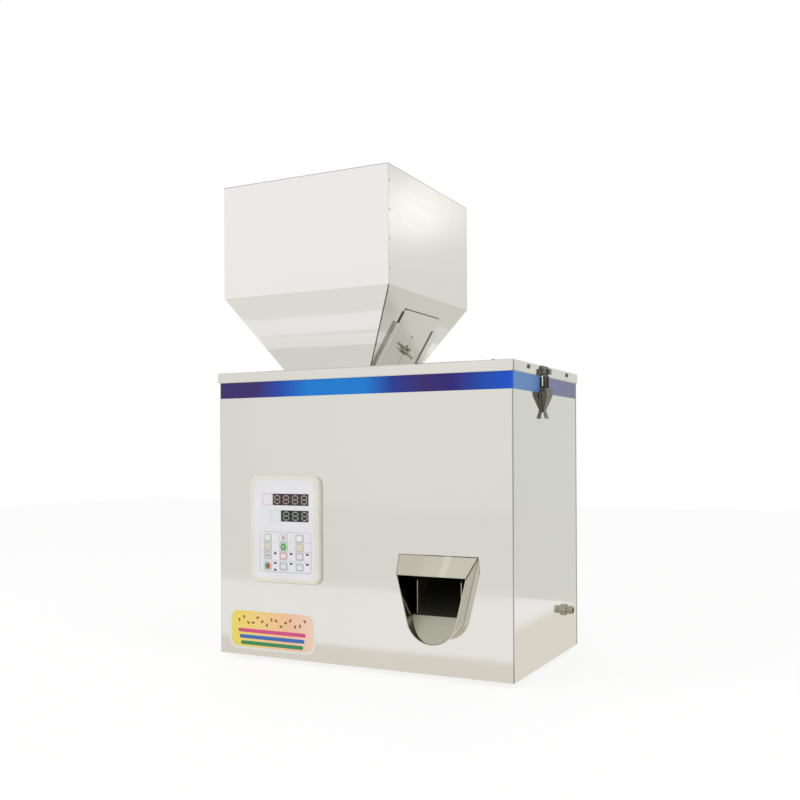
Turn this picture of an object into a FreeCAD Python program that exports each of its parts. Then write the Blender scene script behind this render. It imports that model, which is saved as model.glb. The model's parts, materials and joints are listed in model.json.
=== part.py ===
import FreeCAD, Part
import math
import os

# Bench-top granule filling machine, in millimetres.
# Origin: centre of the box round the machine, on the surface it stands on.
# +X to the right along the front, +Y to the back, +Z up.

V = FreeCAD.Vector
os.makedirs("parts", exist_ok=True)

# Sheet and clearances
sheet_t = 1.2          # cabinet and lid sheet
hopper_t = 1.0         # hopper, spout and bucket sheet
bend_r = 2.0           # outside radius of the cabinet's bends
run_gap = 0.05         # radial clearance of a pin in its hole
slide_gap = 0.15       # clearance of a piece that slides on a sheet
lid_gap = 0.4          # between the lid's lip and the cabinet

# Cabinet
cab_w = 360.0
cab_d = 220.0
cab_h = 323.0          # from the base's underside to the lid's top
foot_h = 5.0
foot_r = 9.0
foot_inset = 32.0
foot_sides = 24
foot_head_gap = 0.4    # round the screw's head in the foot
foot_head_sunk = 0.3   # head above the bench
base_flange = 14.0     # turned-up edge of the base plate
rear_flange = 13.0     # edge of the shell that the rear panel is screwed to
rear_stand = 3.0       # how far the mains inlet stands behind the rear panel
rear_screw_low = 40.0  # first side screw over the base
rear_screw_high = 53.0 # last side screw under the lid's top
rear_screw_n = 3

# Lid
lid_lip = 11.0
lid_edge = 1.2         # bevel round the lid's top
gate_slit_side = 1.0   # slit in the lid wider than the gate, each side
gate_slit_gap = 0.7    # slit in the lid thicker than the gate
notch_side = 1.0       # notch for a screw wider than its nut, each side
lip_screw_up = 1.0     # lip screws above the middle of the lip

# Hopper
hopper_w = 214.0
hopper_d = 216.0
hopper_inset = 6.6     # from the cabinet's left side to the hopper's
hopper_box_h = 128.3   # upright part
hopper_cone_h = 86.5   # sloping part above the lid
hopper_drop = 53.0     # sloping part below the lid's top
outlet_w = 45.0
outlet_d = 45.0
hem_h = 8.0            # folded top edge

# Gate on the hopper's right slope
gate_w = 95.0
gate_t = 1.2
gate_top = 69.0        # height of its upper edge over the lid's top
gate_below_outlet = 8.0
gate_tongue_w = 46.0
gate_slot_w = 6.0
gate_slot_up = 19.0    # from the stud to the slot's upper end
gate_slot_down = 19.0
gate_corner_r = 5.0
gate_taper_low = 17.5  # tongue starts to widen, above the outlet
gate_taper_high = 5.3  # full width is reached, below the lid's top
rail_out = 6.6         # rail's foot beside the gate
rail_over = 5.4        # rail's lip over the gate
rail_t = 1.2
rail_top = 54.0
stud_up = 28.0         # height of the stud over the lid's top
stud_r = 2.5
stud_len = 13.0
stud_root = 0.4        # weld of the stud into the sheet
nut_hub_r = 5.0
nut_hub_h = 5.5
wing_span = 24.0
wing_h = 9.5
wing_t = 2.0
wing_foot = 1.0        # wings start this far above the nut's foot
wing_tip_h = 3.5       # height of a wing's outer edge
wing_tip_w = 2.2       # slope at a wing's tip
wing_tip_drop = 0.8
wing_turn = 62.0       # how the nut was left after tightening, in degrees

# Spout
spout_x = 97.4
spout_reach = 18.0
spout_back_w = 90.3    # width of the top edge on the front panel
spout_back_top = 124.0
spout_back_low = 58.0
spout_back_low_w = 58.0
spout_back_floor = 39.0
spout_front_w = 78.7
spout_front_top = 105.0
spout_front_low = 53.0
spout_front_low_w = 53.8
spout_front_floor = 34.0
spout_flange = 7.0
ramp_z = 61.0          # height of the chute floor where it meets the front panel
ramp_end_z = 36.0
chute_gap = 0.3        # between the chute's front edge and the spout
chute_side_gap = 3.0   # chute narrower than the spout, each side
chute_spread = 10.0    # chute wider than the bucket at the back, each side
chute_behind = 6.0     # chute reaches behind the bucket
chute_fall = 40.0      # chute floor below the bucket, at the back
chute_below = 14.0     # chute walls end below the bucket
chute_wall = 34.0      # height of the walls at the front
chute_step = 16.0      # full-height walls start in front of the bucket

# Control panel
panel_x = -88.4
panel_z = 144.75
panel_w = 91.5
panel_h = 119.4
panel_t = 5.0
panel_r = 9.0
panel_edge = 1.2       # bevel round the bezel's front
overlay_side = 6.2     # bezel beside the overlay
overlay_end = 4.9      # bezel above and below the overlay
overlay_t = 0.6
overlay_r = 6.0
bezel_wall = 2.0       # floor of the bezel behind the overlay
bezel_rim = 4.0        # solid edge of the bezel behind the overlay
cutout_rim = 5.0       # cabinet's sheet behind the overlay's edge
key_w = 10.4
key_r = 1.6
key_gap = 0.15
key_proud = 0.4
key_travel = 0.35
key_depth = 1.4        # thickness of a key's pad
key_edge = 0.3         # bevel round a key
key_stem_w = 2.4
key_pitch_x = 21.1
key_left = 24.05       # first column, from the panel's left edge
key_share = 0.0704     # a key's height, in shares of the panel's
key_rows = (0.4242, 0.3413, 0.2567, 0.1579)  # heights of the rows, in the same shares
lamp_w = 3.6
lamp_h = 2.0
lamp_dx = 10.0         # from a key's centre to its lamp
lamp_rise = 2.6
lamp_end_rise = 3.5    # the same in the lowest row
lamp_end_drop = 4.0
# Distance from the panel's right edge, share of its height below its top, width, height
big_display = (36.85, 0.2173, 47.0, 13.0)
small_display = (31.45, 0.3698, 36.2, 12.5)
window_sunk = 0.1      # window behind the overlay's face, and module behind the window
module_gap = 0.3       # module smaller than its window, each side
window_t = 0.8
board_gap = 6.0        # from the front sheet's inside to the circuit board
board_t = 1.6
board_post_r = 2.0
board_post_dx = 7.5    # from the overlay's edges to the posts
board_post_dz = 8.0
switch_w = 6.0
switch_h = 3.5
switch_gap = 0.1       # key's stem to its switch, when the key is in
panel_board_side = 5.5 # circuit board inside the overlay's edges
panel_board_end = 4.5
chip_w = 28.0
chip_h = 12.0
chip_t = 4.0
plug_w = 44.0
plug_h = 8.0
plug_t = 9.0
plug_up = 8.0          # plug above the board's lower edge

# Latches
latch_y = -17.0        # from the cabinet's middle
latch_drop = 16.0      # lever pivot below the lid's lip
pivot_out = 4.6        # lever pivot from the cabinet's side
ear_r = 2.1            # ear round the pivot, inside the lever's front
ear_top = 1.5
ear_foot = 4.5
rivet_r = 1.2
bail_pin_out = 3.9
bail_pin_drop = 7.8
bail_pin_r = 0.9
lever_top = 2.4
lever_hw_top = 12.6
lever_neck = 21.0
lever_hw_neck = 4.0
lever_tail = 30.0
lever_hw_tail = 6.2
lever_t = 1.0
lever_flare = 2.3      # how far the tail bends out
lever_knee = 6.0       # front leans to the neck below this
lever_neck_out = 2.7   # front at the neck
lever_back = 2.5       # lever behind its pivot
lever_waist = 1.6      # lever's back edge at the neck
lever_slant = 1.08     # side walls' thickness across their lean
pin_end_gap = 0.4      # bail's pin inside the lever's walls
lever_depth = 7.9
spring_r = 2.0
spring_y = 4.9
spring_low = -5.0
spring_high = 16.0
bail_r = 0.8
bail_up = 19.5
keeper_t = 1.2
keeper_w = 26.0
keeper_corner = 1.6
keeper_low = 1.5       # above the lip's lower edge
keeper_high = 10.5
hook_w = 7.2
hook_gap = 5.0
hook_rise = 5.0
keeper_screw_dy = 9.2
lip_screw_dy = 67.0
plate_t = 1.2
plate_hw = 8.6
plate_low = 23.0
plate_high = 5.0
ear_t = 1.1
plate_step = 8.0       # plate narrows below this
plate_toe = 4.4        # half width at the lower end
rivet_out = 0.6        # rivet's head outside the lever
rivet_in = 0.2         # and inside the ear
plate_screw_z = -12.0

# Screws
round_sides = 12       # sides of small round pieces
hole_sides = 8         # sides of screw shanks and holes
screw_tail = 0.8       # shank beyond its nut
m3_r = 1.5
m3_head_r = 2.4
m3_head_h = 1.4
m3_nut_r = 3.1
m3_nut_h = 2.4
m4_r = 2.0
m4_head_r = 3.6
m4_head_h = 2.2
m4_nut_r = 4.0
m4_nut_h = 3.2
earth_x = 155.9
earth_back = 9.0

# Foot switch socket
socket_y = 57.5        # from the cabinet's middle
socket_z = 49.0
socket_r = 4.5
socket_out = 10.6
socket_in = 14.0
socket_bore_r = 3.3
socket_bore = 6.0
socket_shoulder = 1.6  # body behind the sheet, beyond the barrel
socket_relief = 0.6    # groove between the nut and the plug's thread
socket_undercut = 0.35
socket_pin_w = 0.8
socket_pin_off = 1.3   # pins from the socket's axis
socket_pin_sunk = 1.5  # pins behind the barrel's end
socket_nut_af = 12.0
socket_nut_t = 3.5

# Mains inlet with a rocker switch
inlet_x = 142.0
inlet_z = 60.0
inlet_w = 30.0
inlet_h = 52.0
inlet_in = 26.0
inlet_r = 3.0
inlet_body_w = 26.0
inlet_body_h = 46.0
cavity_w = 20.0
cavity_h = 14.0
cavity_depth = 17.0
cavity_dz = -11.0
rocker_w = 13.0
rocker_h = 18.0
rocker_depth = 7.0
rocker_dz = 11.0
rocker_tilt = 8.0
rocker_gap = 0.4       # beside the rocker
rocker_end_gap = 1.0   # above and below it
rocker_under = 2.0     # room behind it
rocker_pin_r = 1.2
rocker_axis_in = 3.5   # its axis behind the inlet's face
rocker_crest = 3.0     # its ends in front of its axis
rocker_dip = 1.9       # its middle in front of its axis
rocker_back = 2.2
pin_recess = 3.0
pin_w = 2.0
pin_h = 4.0
pin_pitch = 6.0

# Rear louvres
louvre_n = 7
louvre_w = 70.0
louvre_h = 4.2
louvre_pitch = 14.0
louvre_x = -85.0
louvre_z = 190.0
louvre_out = 2.2
louvre_end = 1.0       # closed end of a louvre

# Trough feeder
throat_gap = 23.0      # from the hopper's outlet down to the trough's floor
trough_t = 1.2
trough_w = 64.0
trough_wall = 28.0
trough_left = 14.0     # trough beyond the outlet on the left
trough_over = 6.6      # trough's end past the left edge of the bucket's mouth
trough_nose = 8.0      # height of the side walls at the open end
trough_slant = 14.0    # length of their slope
leaf_tilt = 20.0
leaf_t = 1.4
leaf_w = 44.0
leaf_len = 72.0
leaf_clamp = 16.0
leaf_gap = 1.0         # top of a spring below the trough
leaf_tail = 2.0        # base below the springs' ends
bracket_h = 17.0
bracket_l = 24.0
bracket_toe = 5.0
feeder_inset = 18.9    # left spring from the trough's left end
feeder_span = 88.0     # between the springs
base_w = 54.0
mount_r = 8.0
mount_h = 12.0
mount_side = 2.0       # base beyond its rubber mounts
stand_t = 2.0
stand_margin = 9.0
stand_leg = 14.0       # width of a leg along X
stand_foot = 16.0      # and along Y
stand_apron = 24.0     # height of the stand's end rails
magnet_l = 30.0
magnet_w = 34.0
magnet_gap = 3.0
magnet_back = 42.0     # pole face from the left spring
magnet_under = 4.0     # top of the magnet below the brackets
armature_reach = 18.0  # armature below the brackets
armature_t = 4.0

# Weigh bucket
bucket_gap = 9.0       # below the trough's underside
bucket_h = 50.0
bucket_w = 76.0
bucket_front = -40.0   # from the cabinet's middle
bucket_low_w = 60.0
bucket_lean = 23.0     # how far its rear wall slopes in
door_t = 1.2
door_gap = 0.2         # door below the bucket
door_over = 1.0        # door beyond the bucket's opening
door_rib = 8.0         # rib along the door
door_rib_foot = 1.5
door_rib_head = 3.5
shaft_r = 2.5
hinge_drop = 3.0       # shaft axis below the bucket's lower edge
hinge_front = 5.0      # and in front of its front wall
shaft_end = 5.0        # shaft beyond the door, away from the motor
ear_out = 5.0
motor_r = 12.5
motor_l = 24.0
motor_plate = 2.0
motor_shaft = 6.0      # shaft inside the motor
motor_bore = 8.0
plate_near = 4.5       # motor's plate from the shaft's axis
plate_far = 16.0
plate_foot = 6.0
plate_head = 14.0
neck_far = 10.0
neck_in = 2.0
bucket_ear_gap = 1.2   # between the door and an ear
bucket_ear_t = 2.0
ear_nose = 6.0         # ear in front of the shaft's axis
ear_chin = 5.0
ear_heel = 4.0
ear_back = 16.0        # ear along the bucket's side
ear_high = 18.0
ear_foot_up = 2.0
ear_shell_gap = 0.3
knuckle_wall = 1.6
knuckle_in = 6.0       # knuckle shorter than the door, each end

# Load cell
cell_w = 12.7
cell_h = 20.0
cell_l = 62.0
cell_hole_r = 5.5
cell_end = 12.0        # length of each end that is bolted down
cell_step = 2.0        # spacer that keeps the bar's middle free
cell_behind = 4.0      # from the bucket's mouth to the cell
cell_clear = 9.8       # from the cell to the rear panel
cell_down = 6.0        # cell's top below the bucket's mouth
post_w = 40.0
post_t = 3.0
arm_t = 3.0
arm_side = 3.0         # arm wider than the cell, each side
arm_back = 3.0
arm_drop = 28.0        # cheek on the bucket's back
cheek_toe = 2.5
cheek_gap = 1.0        # cheek to the cell's end
cheek_under = 2.0
seat_over = 6.0        # stand's top beyond the cell's clamped end
stand_toe = 24.0       # foot along Y
rib_gap = 1.0

# Control board
pcb_w = 84.0
pcb_d = 120.0
pcb_x = -132.0
pcb_rise = 8.0
standoff_r = 3.0
standoff_in = 6.0      # from the board's edges
board_root = 0.2       # how far a piece stands into the board
big_coil = (33.0, 85.0, 38.0, 38.0, 32.0)   # centre on the board, width, depth, height
heat_sink = (66.0, 58.0, 12.0, 76.0, 22.0)
terminals = (30.0, 13.0, 40.0, 10.0, 12.0)
capacitor_r = 6.0
capacitor_h = 18.0
capacitors = ((22.0, 34.0), (38.0, 34.0), (22.0, 50.0))

# Derived places
half_w = cab_w / 2
front = spout_reach - (spout_reach + cab_d + rear_stand) / 2
back = front + cab_d
mid_y = front + cab_d / 2
lid_top = foot_h + cab_h
lid_under = lid_top - sheet_t
lip_low = lid_top - lid_lip
lip_out = lid_gap + sheet_t
hopper_x = -half_w + hopper_inset + hopper_w / 2
kink_z = lid_top + hopper_cone_h
hopper_top = kink_z + hopper_box_h
outlet_z = lid_top - hopper_drop
slope_x = (hopper_w - outlet_w) / 2 / (kink_z - outlet_z)
slope_y = (hopper_d - outlet_d) / 2 / (kink_z - outlet_z)
floor_in = foot_h + sheet_t
trough_floor = outlet_z - throat_gap
trough_under = trough_floor - trough_t
trough_x0 = hopper_x - outlet_w / 2 - trough_left
trough_end = spout_x - bucket_w / 2 + trough_over
feeder_left = trough_x0 + feeder_inset
feeder_right = feeder_left + feeder_span
bucket_top = trough_under - bucket_gap
bucket_low = bucket_top - bucket_h
bucket_back = cab_d / 2 - sheet_t - cell_clear - cell_l - cell_behind
bucket_low_back = bucket_back - bucket_lean
pivot_z = lip_low - latch_drop
y_latch = mid_y + latch_y
overlay_w = panel_w - 2 * overlay_side
overlay_h = panel_h - 2 * overlay_end
panel_mid = foot_h + panel_z
key_h = panel_h * key_share


# Basic forms
def block(x0, x1, y0, y1, z0, z1):
    return Part.makeBox(x1 - x0, y1 - y0, z1 - z0, V(x0, y0, z0))


def rod(radius, start, end):
    a = V(*start)
    b = V(*end)
    return Part.makeCylinder(radius, (b - a).Length, a, b - a)


def extrude_loop(points, direction):
    edges = [V(*p) for p in points]
    wire = Part.makePolygon(edges + [edges[0]])
    return Part.Face(wire).extrude(V(*direction))


def prism_x(points, x0, x1):
    return extrude_loop([(x0, y, z) for y, z in points], (x1 - x0, 0, 0))


def prism_y(points, y0, y1):
    return extrude_loop([(x, y0, z) for x, z in points], (0, y1 - y0, 0))


def prism_z(points, z0, z1):
    return extrude_loop([(x, y, z0) for x, y in points], (0, 0, z1 - z0))


def edges_along(shape, axis):
    found = []
    for edge in shape.Edges:
        if len(edge.Vertexes) != 2:
            continue
        run = edge.Vertexes[1].Point - edge.Vertexes[0].Point
        if run.Length > 1e-6 and abs(abs(run.normalize().dot(axis)) - 1) < 1e-6:
            found.append(edge)
    return found


def rounded(x0, x1, y0, y1, z0, z1, radius, axis):
    shape = block(x0, x1, y0, y1, z0, z1)
    return shape.makeFillet(radius, edges_along(shape, axis))


# Prism round an axis, for small repeated pieces
def faceted(radius, sides, start, end):
    a = V(*start)
    way = V(*end) - a
    turns = [2 * math.pi * (i + 0.5) / sides for i in range(sides)]
    loop = [V(radius * math.cos(t), radius * math.sin(t), 0) for t in turns]
    shape = Part.Face(Part.makePolygon(loop + [loop[0]])).extrude(V(0, 0, way.Length))
    shape.Placement = FreeCAD.Placement(a, FreeCAD.Rotation(V(0, 0, 1), way))
    return shape


# Rectangle with rounded corners of two chords each, for the keys and their holes
def pad(x0, x1, y0, y1, z0, z1, radius):
    loop = []
    for sx, sz, first in ((1, 1, 0), (-1, 1, 90), (-1, -1, 180), (1, -1, 270)):
        cx = (x1 if sx > 0 else x0) - sx * radius
        cz = (z1 if sz > 0 else z0) - sz * radius
        for turn in (first, first + 45, first + 90):
            a = math.radians(turn)
            loop.append((cx + radius * math.cos(a), cz + radius * math.sin(a)))
    return prism_y(loop, y0, y1)


def mirrored(shape):
    return shape.mirror(V(0, 0, 0), V(1, 0, 0))


def save(name, shapes):
    solids = []
    for shape in shapes:
        solids += shape.Solids
    for solid in solids:
        if not solid.isValid() or solid.Volume <= 0:
            raise ValueError("bad solid in " + name)
    made = solids[0] if len(solids) == 1 else Part.makeCompound(solids)
    made.exportStep("parts/" + name + ".step")
    print(name, len(solids))


# Screw whose head sits on seat and points along out
def screw(seat, out, grip, shank_r, head_r, head_h, nut_r, nut_h):
    at = V(*seat)
    way = V(*out)
    end = at - way * grip
    head = faceted(head_r, round_sides, at, at + way * head_h)
    shank = faceted(shank_r, hole_sides, at, end - way * (nut_h + screw_tail))
    nut = faceted(nut_r, 6, end, end - way * nut_h)
    return head.fuse(shank).fuse(nut).removeSplitter()


def m3_screw(seat, out, grip):
    return screw(seat, out, grip, m3_r, m3_head_r, m3_head_h, m3_nut_r, m3_nut_h)


def m3_hole(seat, out, depth):
    at = V(*seat)
    way = V(*out)
    return faceted(m3_r + run_gap, hole_sides, at + way, at - way * (depth + 1))


# Cabinet
def rear_screw_seats():
    x = half_w - sheet_t - rear_flange / 2
    low = foot_h + base_flange / 2
    step = (cab_h - rear_screw_low - rear_screw_high) / (rear_screw_n - 1)
    heights = [foot_h + rear_screw_low + i * step for i in range(rear_screw_n)]
    seats = [(side * x, back, z) for side in (-1, 1) for z in heights]
    return seats + [(side * x / 2, back, low) for side in (-1, 1)]


def latch_seats():
    return [(side * (half_w + plate_t), y_latch, pivot_z + plate_screw_z) for side in (-1, 1)]


def lip_seats():
    seats = []
    for side in (-1, 1):
        for dy in (-lip_screw_dy, lip_screw_dy):
            seats.append((side * (half_w + lip_out), mid_y + dy, lid_top - lid_lip / 2 + lip_screw_up))
    return seats


def keeper_seats():
    seats = []
    for side in (-1, 1):
        for dy in (-keeper_screw_dy, keeper_screw_dy):
            z = lip_low + (keeper_low + keeper_high) / 2
            seats.append((side * (half_w + lip_out + keeper_t), y_latch + dy, z))
    return seats


def feet_places():
    xs = half_w - foot_inset
    return [(sx * xs, y) for sx in (-1, 1) for y in (front + foot_inset, back - foot_inset)]


def cabinet_shell():
    outer = block(-half_w, half_w, front, back - sheet_t, foot_h, lid_under)
    corner = [e for e in edges_along(outer, V(0, 0, 1)) if e.Vertexes[0].Y < mid_y]
    outer = outer.makeFillet(bend_r, corner)
    inner = block(-half_w + sheet_t, half_w - sheet_t, front + sheet_t, back, foot_h - 1, lid_under + 1)
    corner = [e for e in edges_along(inner, V(0, 0, 1)) if e.Vertexes[0].Y < mid_y]
    inner = inner.makeFillet(bend_r - sheet_t, corner)
    shell = outer.cut(inner)
    for side in (-1, 1):
        x0 = side * (half_w - sheet_t)
        x1 = side * (half_w - sheet_t - rear_flange)
        low = foot_h + base_flange + 1
        flange = block(min(x0, x1), max(x0, x1), back - 2 * sheet_t, back - sheet_t, low, lid_under)
        shell = shell.fuse(flange)
    shell = shell.removeSplitter()
    shell = shell.cut(spout_opening(front - 5, front + sheet_t + 5, run_gap))
    shell = shell.cut(panel_cutout())
    y, z = socket_centre()
    shell = shell.cut(rod(socket_r + run_gap, (half_w - 5, y, z), (half_w + 5, y, z)))
    for x, y, z in latch_seats():
        way = (math.copysign(1, x), 0, 0)
        shell = shell.cut(m3_hole((x, y, z), way, 5))
    for x, y, z in rear_screw_seats():
        shell = shell.cut(m3_hole((x, y, z), (0, 1, 0), 3 * sheet_t))
    return shell.cut(lip_notches())


# Notches in the side walls' upper edge, for the screws through the lid's lip
def lip_notches():
    wide = m3_nut_r + notch_side
    cut = []
    for x, y, z in lip_seats():
        cut.append((math.copysign(1, x), y - wide, y + wide, z - wide))
    for side in (-1, 1):
        reach = keeper_screw_dy + wide
        cut.append((side, y_latch - reach, y_latch + reach, lip_low + keeper_low))
    tool = None
    for side, y0, y1, z0 in cut:
        x0 = side * (half_w - 2 * sheet_t)
        x1 = side * (half_w + 1)
        piece = block(min(x0, x1), max(x0, x1), y0, y1, z0, lid_top)
        tool = piece if tool is None else tool.fuse(piece)
    return tool


def base_plate():
    x = half_w - sheet_t
    y0 = front + sheet_t
    y1 = back - sheet_t
    tray = block(-x, x, y0, y1, foot_h, foot_h + base_flange)
    corner = [e for e in edges_along(tray, V(0, 0, 1)) if e.Vertexes[0].Y < mid_y]
    tray = tray.makeFillet(bend_r - sheet_t, corner)
    hollow = block(-x + sheet_t, x - sheet_t, y0 + sheet_t, y1 - sheet_t, floor_in, foot_h + base_flange + 1)
    tray = tray.cut(hollow)
    for x, y in feet_places():
        tray = tray.cut(faceted(m4_r + run_gap, hole_sides, (x, y, foot_h - 1), (x, y, floor_in + 1)))
    for x, y, z in rear_screw_seats():
        tray = tray.cut(m3_hole((x, y, z), (0, 1, 0), 3 * sheet_t))
    return tray


def rear_panel():
    panel = block(-half_w, half_w, back - sheet_t, back, foot_h, lid_under)
    x0 = inlet_x - inlet_body_w / 2
    z0 = foot_h + inlet_z - inlet_body_h / 2
    panel = panel.cut(block(x0, x0 + inlet_body_w, back - 5, back + 5, z0, z0 + inlet_body_h))
    for i in range(louvre_n):
        z = foot_h + louvre_z + (i - (louvre_n - 1) / 2) * louvre_pitch
        x0 = louvre_x - louvre_w / 2
        x1 = louvre_x + louvre_w / 2
        lip = louvre_out + sheet_t
        hood = [(back, z + louvre_h), (back + louvre_out, z), (back, z)]
        mouth = z + louvre_h - sheet_t
        slot = [(back - lip, mouth), (back + louvre_out - sheet_t, z - 0.1), (back - lip, z - 0.1)]
        panel = panel.fuse(prism_x(hood, x0, x1))
        panel = panel.cut(prism_x(slot, x0 + louvre_end, x1 - louvre_end))
    for seat in rear_screw_seats():
        panel = panel.cut(m3_hole(seat, (0, 1, 0), 3 * sheet_t))
    return panel


def cabinet_screws():
    grip_side = plate_t + sheet_t
    made = [m3_screw(seat, (0, 1, 0), 2 * sheet_t) for seat in rear_screw_seats()]
    for seat in latch_seats():
        made.append(m3_screw(seat, (math.copysign(1, seat[0]), 0, 0), grip_side))
    return made


def rubber_feet():
    made = []
    for x, y in feet_places():
        foot = faceted(foot_r, foot_sides, (x, y, 0), (x, y, foot_h))
        foot = foot.cut(faceted(m4_head_r + foot_head_gap, round_sides, (x, y, -1), (x, y, foot_seat())))
        made.append(foot.cut(faceted(m4_r + run_gap, hole_sides, (x, y, 0), (x, y, foot_h + 1))))
    return made


def foot_seat():
    return m4_head_h + foot_head_sunk


def foot_screws():
    made = []
    for x, y in feet_places():
        seat = (x, y, foot_seat())
        grip = floor_in - seat[2]
        made.append(screw(seat, (0, 0, -1), grip, m4_r, m4_head_r, m4_head_h, m4_nut_r, m4_nut_h))
    return made


# Lid
def lid():
    x = half_w + lip_out
    y0 = front - lip_out
    y1 = back + lip_out
    tray = block(-x, x, y0, y1, lip_low, lid_top)
    tray = tray.makeFillet(bend_r, edges_along(tray, V(0, 0, 1)))
    top = [e for e in tray.Edges if e.BoundBox.ZMin > lid_top - 0.01]
    tray = tray.makeChamfer(lid_edge, top)
    hollow = block(-x + sheet_t, x - sheet_t, y0 + sheet_t, y1 - sheet_t, lip_low - 1, lid_under)
    hollow = hollow.makeFillet(bend_r - sheet_t, edges_along(hollow, V(0, 0, 1)))
    tray = tray.cut(hollow)
    tray = tray.cut(hopper_form(0.0, 0.0))
    slit = gate_slab(gate_w / 2 + gate_slit_side, 0.0, gate_t + gate_slit_gap, lip_low, lid_top + 1)
    tray = tray.cut(slit)
    for seat in lip_seats() + keeper_seats():
        tray = tray.cut(m3_hole(seat, (math.copysign(1, seat[0]), 0, 0), lip_out + keeper_t))
    return tray.cut(m3_hole(earth_seat(), (0, 0, 1), sheet_t))


def earth_seat():
    return (earth_x, front + earth_back, lid_top)


def lid_screws():
    made = [m3_screw(seat, (math.copysign(1, seat[0]), 0, 0), sheet_t) for seat in lip_seats()]
    for seat in keeper_seats():
        made.append(m3_screw(seat, (math.copysign(1, seat[0]), 0, 0), sheet_t + keeper_t))
    made.append(m3_screw(earth_seat(), (0, 0, 1), sheet_t))
    return made


# Hopper
def hopper_profile(half_top, slope, inset, z_top, z_low):
    tilt = math.sqrt(1 + slope * slope)
    upright = half_top - inset
    turn = kink_z + inset * (tilt - 1) / slope
    low = half_top - slope * (kink_z - z_low) - inset * tilt
    right = [(upright, z_top), (upright, turn), (low, z_low)]
    return right + [(-x, z) for x, z in reversed(right)]


# Whole hopper filled in, with its faces moved inwards by the two insets
def hopper_form(inset_x, inset_y, z_top=None, z_low=None):
    top = hopper_top if z_top is None else z_top
    low = outlet_z if z_low is None else z_low
    in_x = hopper_profile(hopper_w / 2, slope_x, inset_x, top, low)
    in_y = hopper_profile(hopper_d / 2, slope_y, inset_y, top, low)
    across = prism_y([(x + hopper_x, z) for x, z in in_x], mid_y - hopper_d, mid_y + hopper_d)
    along = prism_x([(y + mid_y, z) for y, z in in_y], hopper_x - hopper_w, hopper_x + hopper_w)
    return across.common(along)


def hopper_sheets():
    t = hopper_t
    outer = hopper_form(0.0, 0.0)
    core = hopper_form(0.0, t)
    room = hopper_form(t, t, hopper_top + 1, outlet_z - 1)
    hem = block(hopper_x - hopper_w / 2 + 2 * t, hopper_x + hopper_w / 2 - 2 * t,
                mid_y - hopper_d / 2 + 2 * t, mid_y + hopper_d / 2 - 2 * t,
                hopper_top - hem_h, hopper_top + 1)
    upper = block(hopper_x - hopper_w, hopper_x + hopper_w, mid_y - hopper_d, mid_y + hopper_d,
                  hopper_top - hem_h, hopper_top + 2)
    room = room.cut(upper).fuse(hem)
    ends = outer.cut(core).fuse(hem_bars()).cut(room)
    sides = core.cut(room).cut(hem_bars())
    ends = sorted(ends.Solids, key=lambda s: s.CenterOfMass.y)
    sides = sorted(sides.Solids, key=lambda s: s.CenterOfMass.x)
    return ends[0], ends[-1], sides[0], sides[-1]


# Folded-in top edges of the front and rear sheets
def hem_bars():
    t = hopper_t
    x0 = hopper_x - hopper_w / 2 + t
    x1 = hopper_x + hopper_w / 2 - t
    low = hopper_top - hem_h
    near = block(x0, x1, mid_y - hopper_d / 2 + t, mid_y - hopper_d / 2 + 2 * t, low, hopper_top)
    far = block(x0, x1, mid_y + hopper_d / 2 - 2 * t, mid_y + hopper_d / 2 - t, low, hopper_top)
    return near.fuse(far)


# Point on the hopper's right slope, by its height and its distance from the surface
def on_slope(z, off):
    tilt = math.sqrt(1 + slope_x * slope_x)
    x = hopper_x + hopper_w / 2 - slope_x * (kink_z - z)
    return (x + off / tilt, z - off * slope_x / tilt)


# Sheet that lies on the slope between two heights, off the surface by gap
def gate_slab(half_width, gap, thick, z0, z1):
    loop = [on_slope(z0, gap), on_slope(z0, gap + thick), on_slope(z1, gap + thick), on_slope(z1, gap)]
    return prism_y(loop, mid_y - half_width, mid_y + half_width)


def slope_normal():
    tilt = math.sqrt(1 + slope_x * slope_x)
    return (1 / tilt, 0, -slope_x / tilt)


def slope_up():
    tilt = math.sqrt(1 + slope_x * slope_x)
    return (slope_x / tilt, 0, 1 / tilt)


def stud_at(off, along=0.0):
    x, z = on_slope(lid_top + stud_up, off)
    up = slope_up()
    return (x + up[0] * along, mid_y, z + up[2] * along)


def stud():
    return rod(stud_r, stud_at(-stud_root), stud_at(stud_len))


def gate_rails():
    made = []
    floor = gate_t + 2 * slide_gap
    near = gate_w / 2 + slide_gap
    z0 = lid_top
    z1 = lid_top + rail_top
    over = rail_top
    for side in (-1, 1):
        strip = gate_slab(near + rail_out, 0, floor + rail_t, z0, z1)
        strip = strip.cut(gate_slab(near - rail_over, -1, floor + 2 * rail_t, z0 - over, z1 + over))
        strip = strip.cut(gate_slab(near, -1, floor + 1, z0 - over, z1 + over))
        y0 = mid_y if side > 0 else front
        y1 = back if side > 0 else mid_y
        made.append(strip.common(block(-half_w, half_w, y0, y1, lid_top, z1 + over)))
    return made


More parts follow.
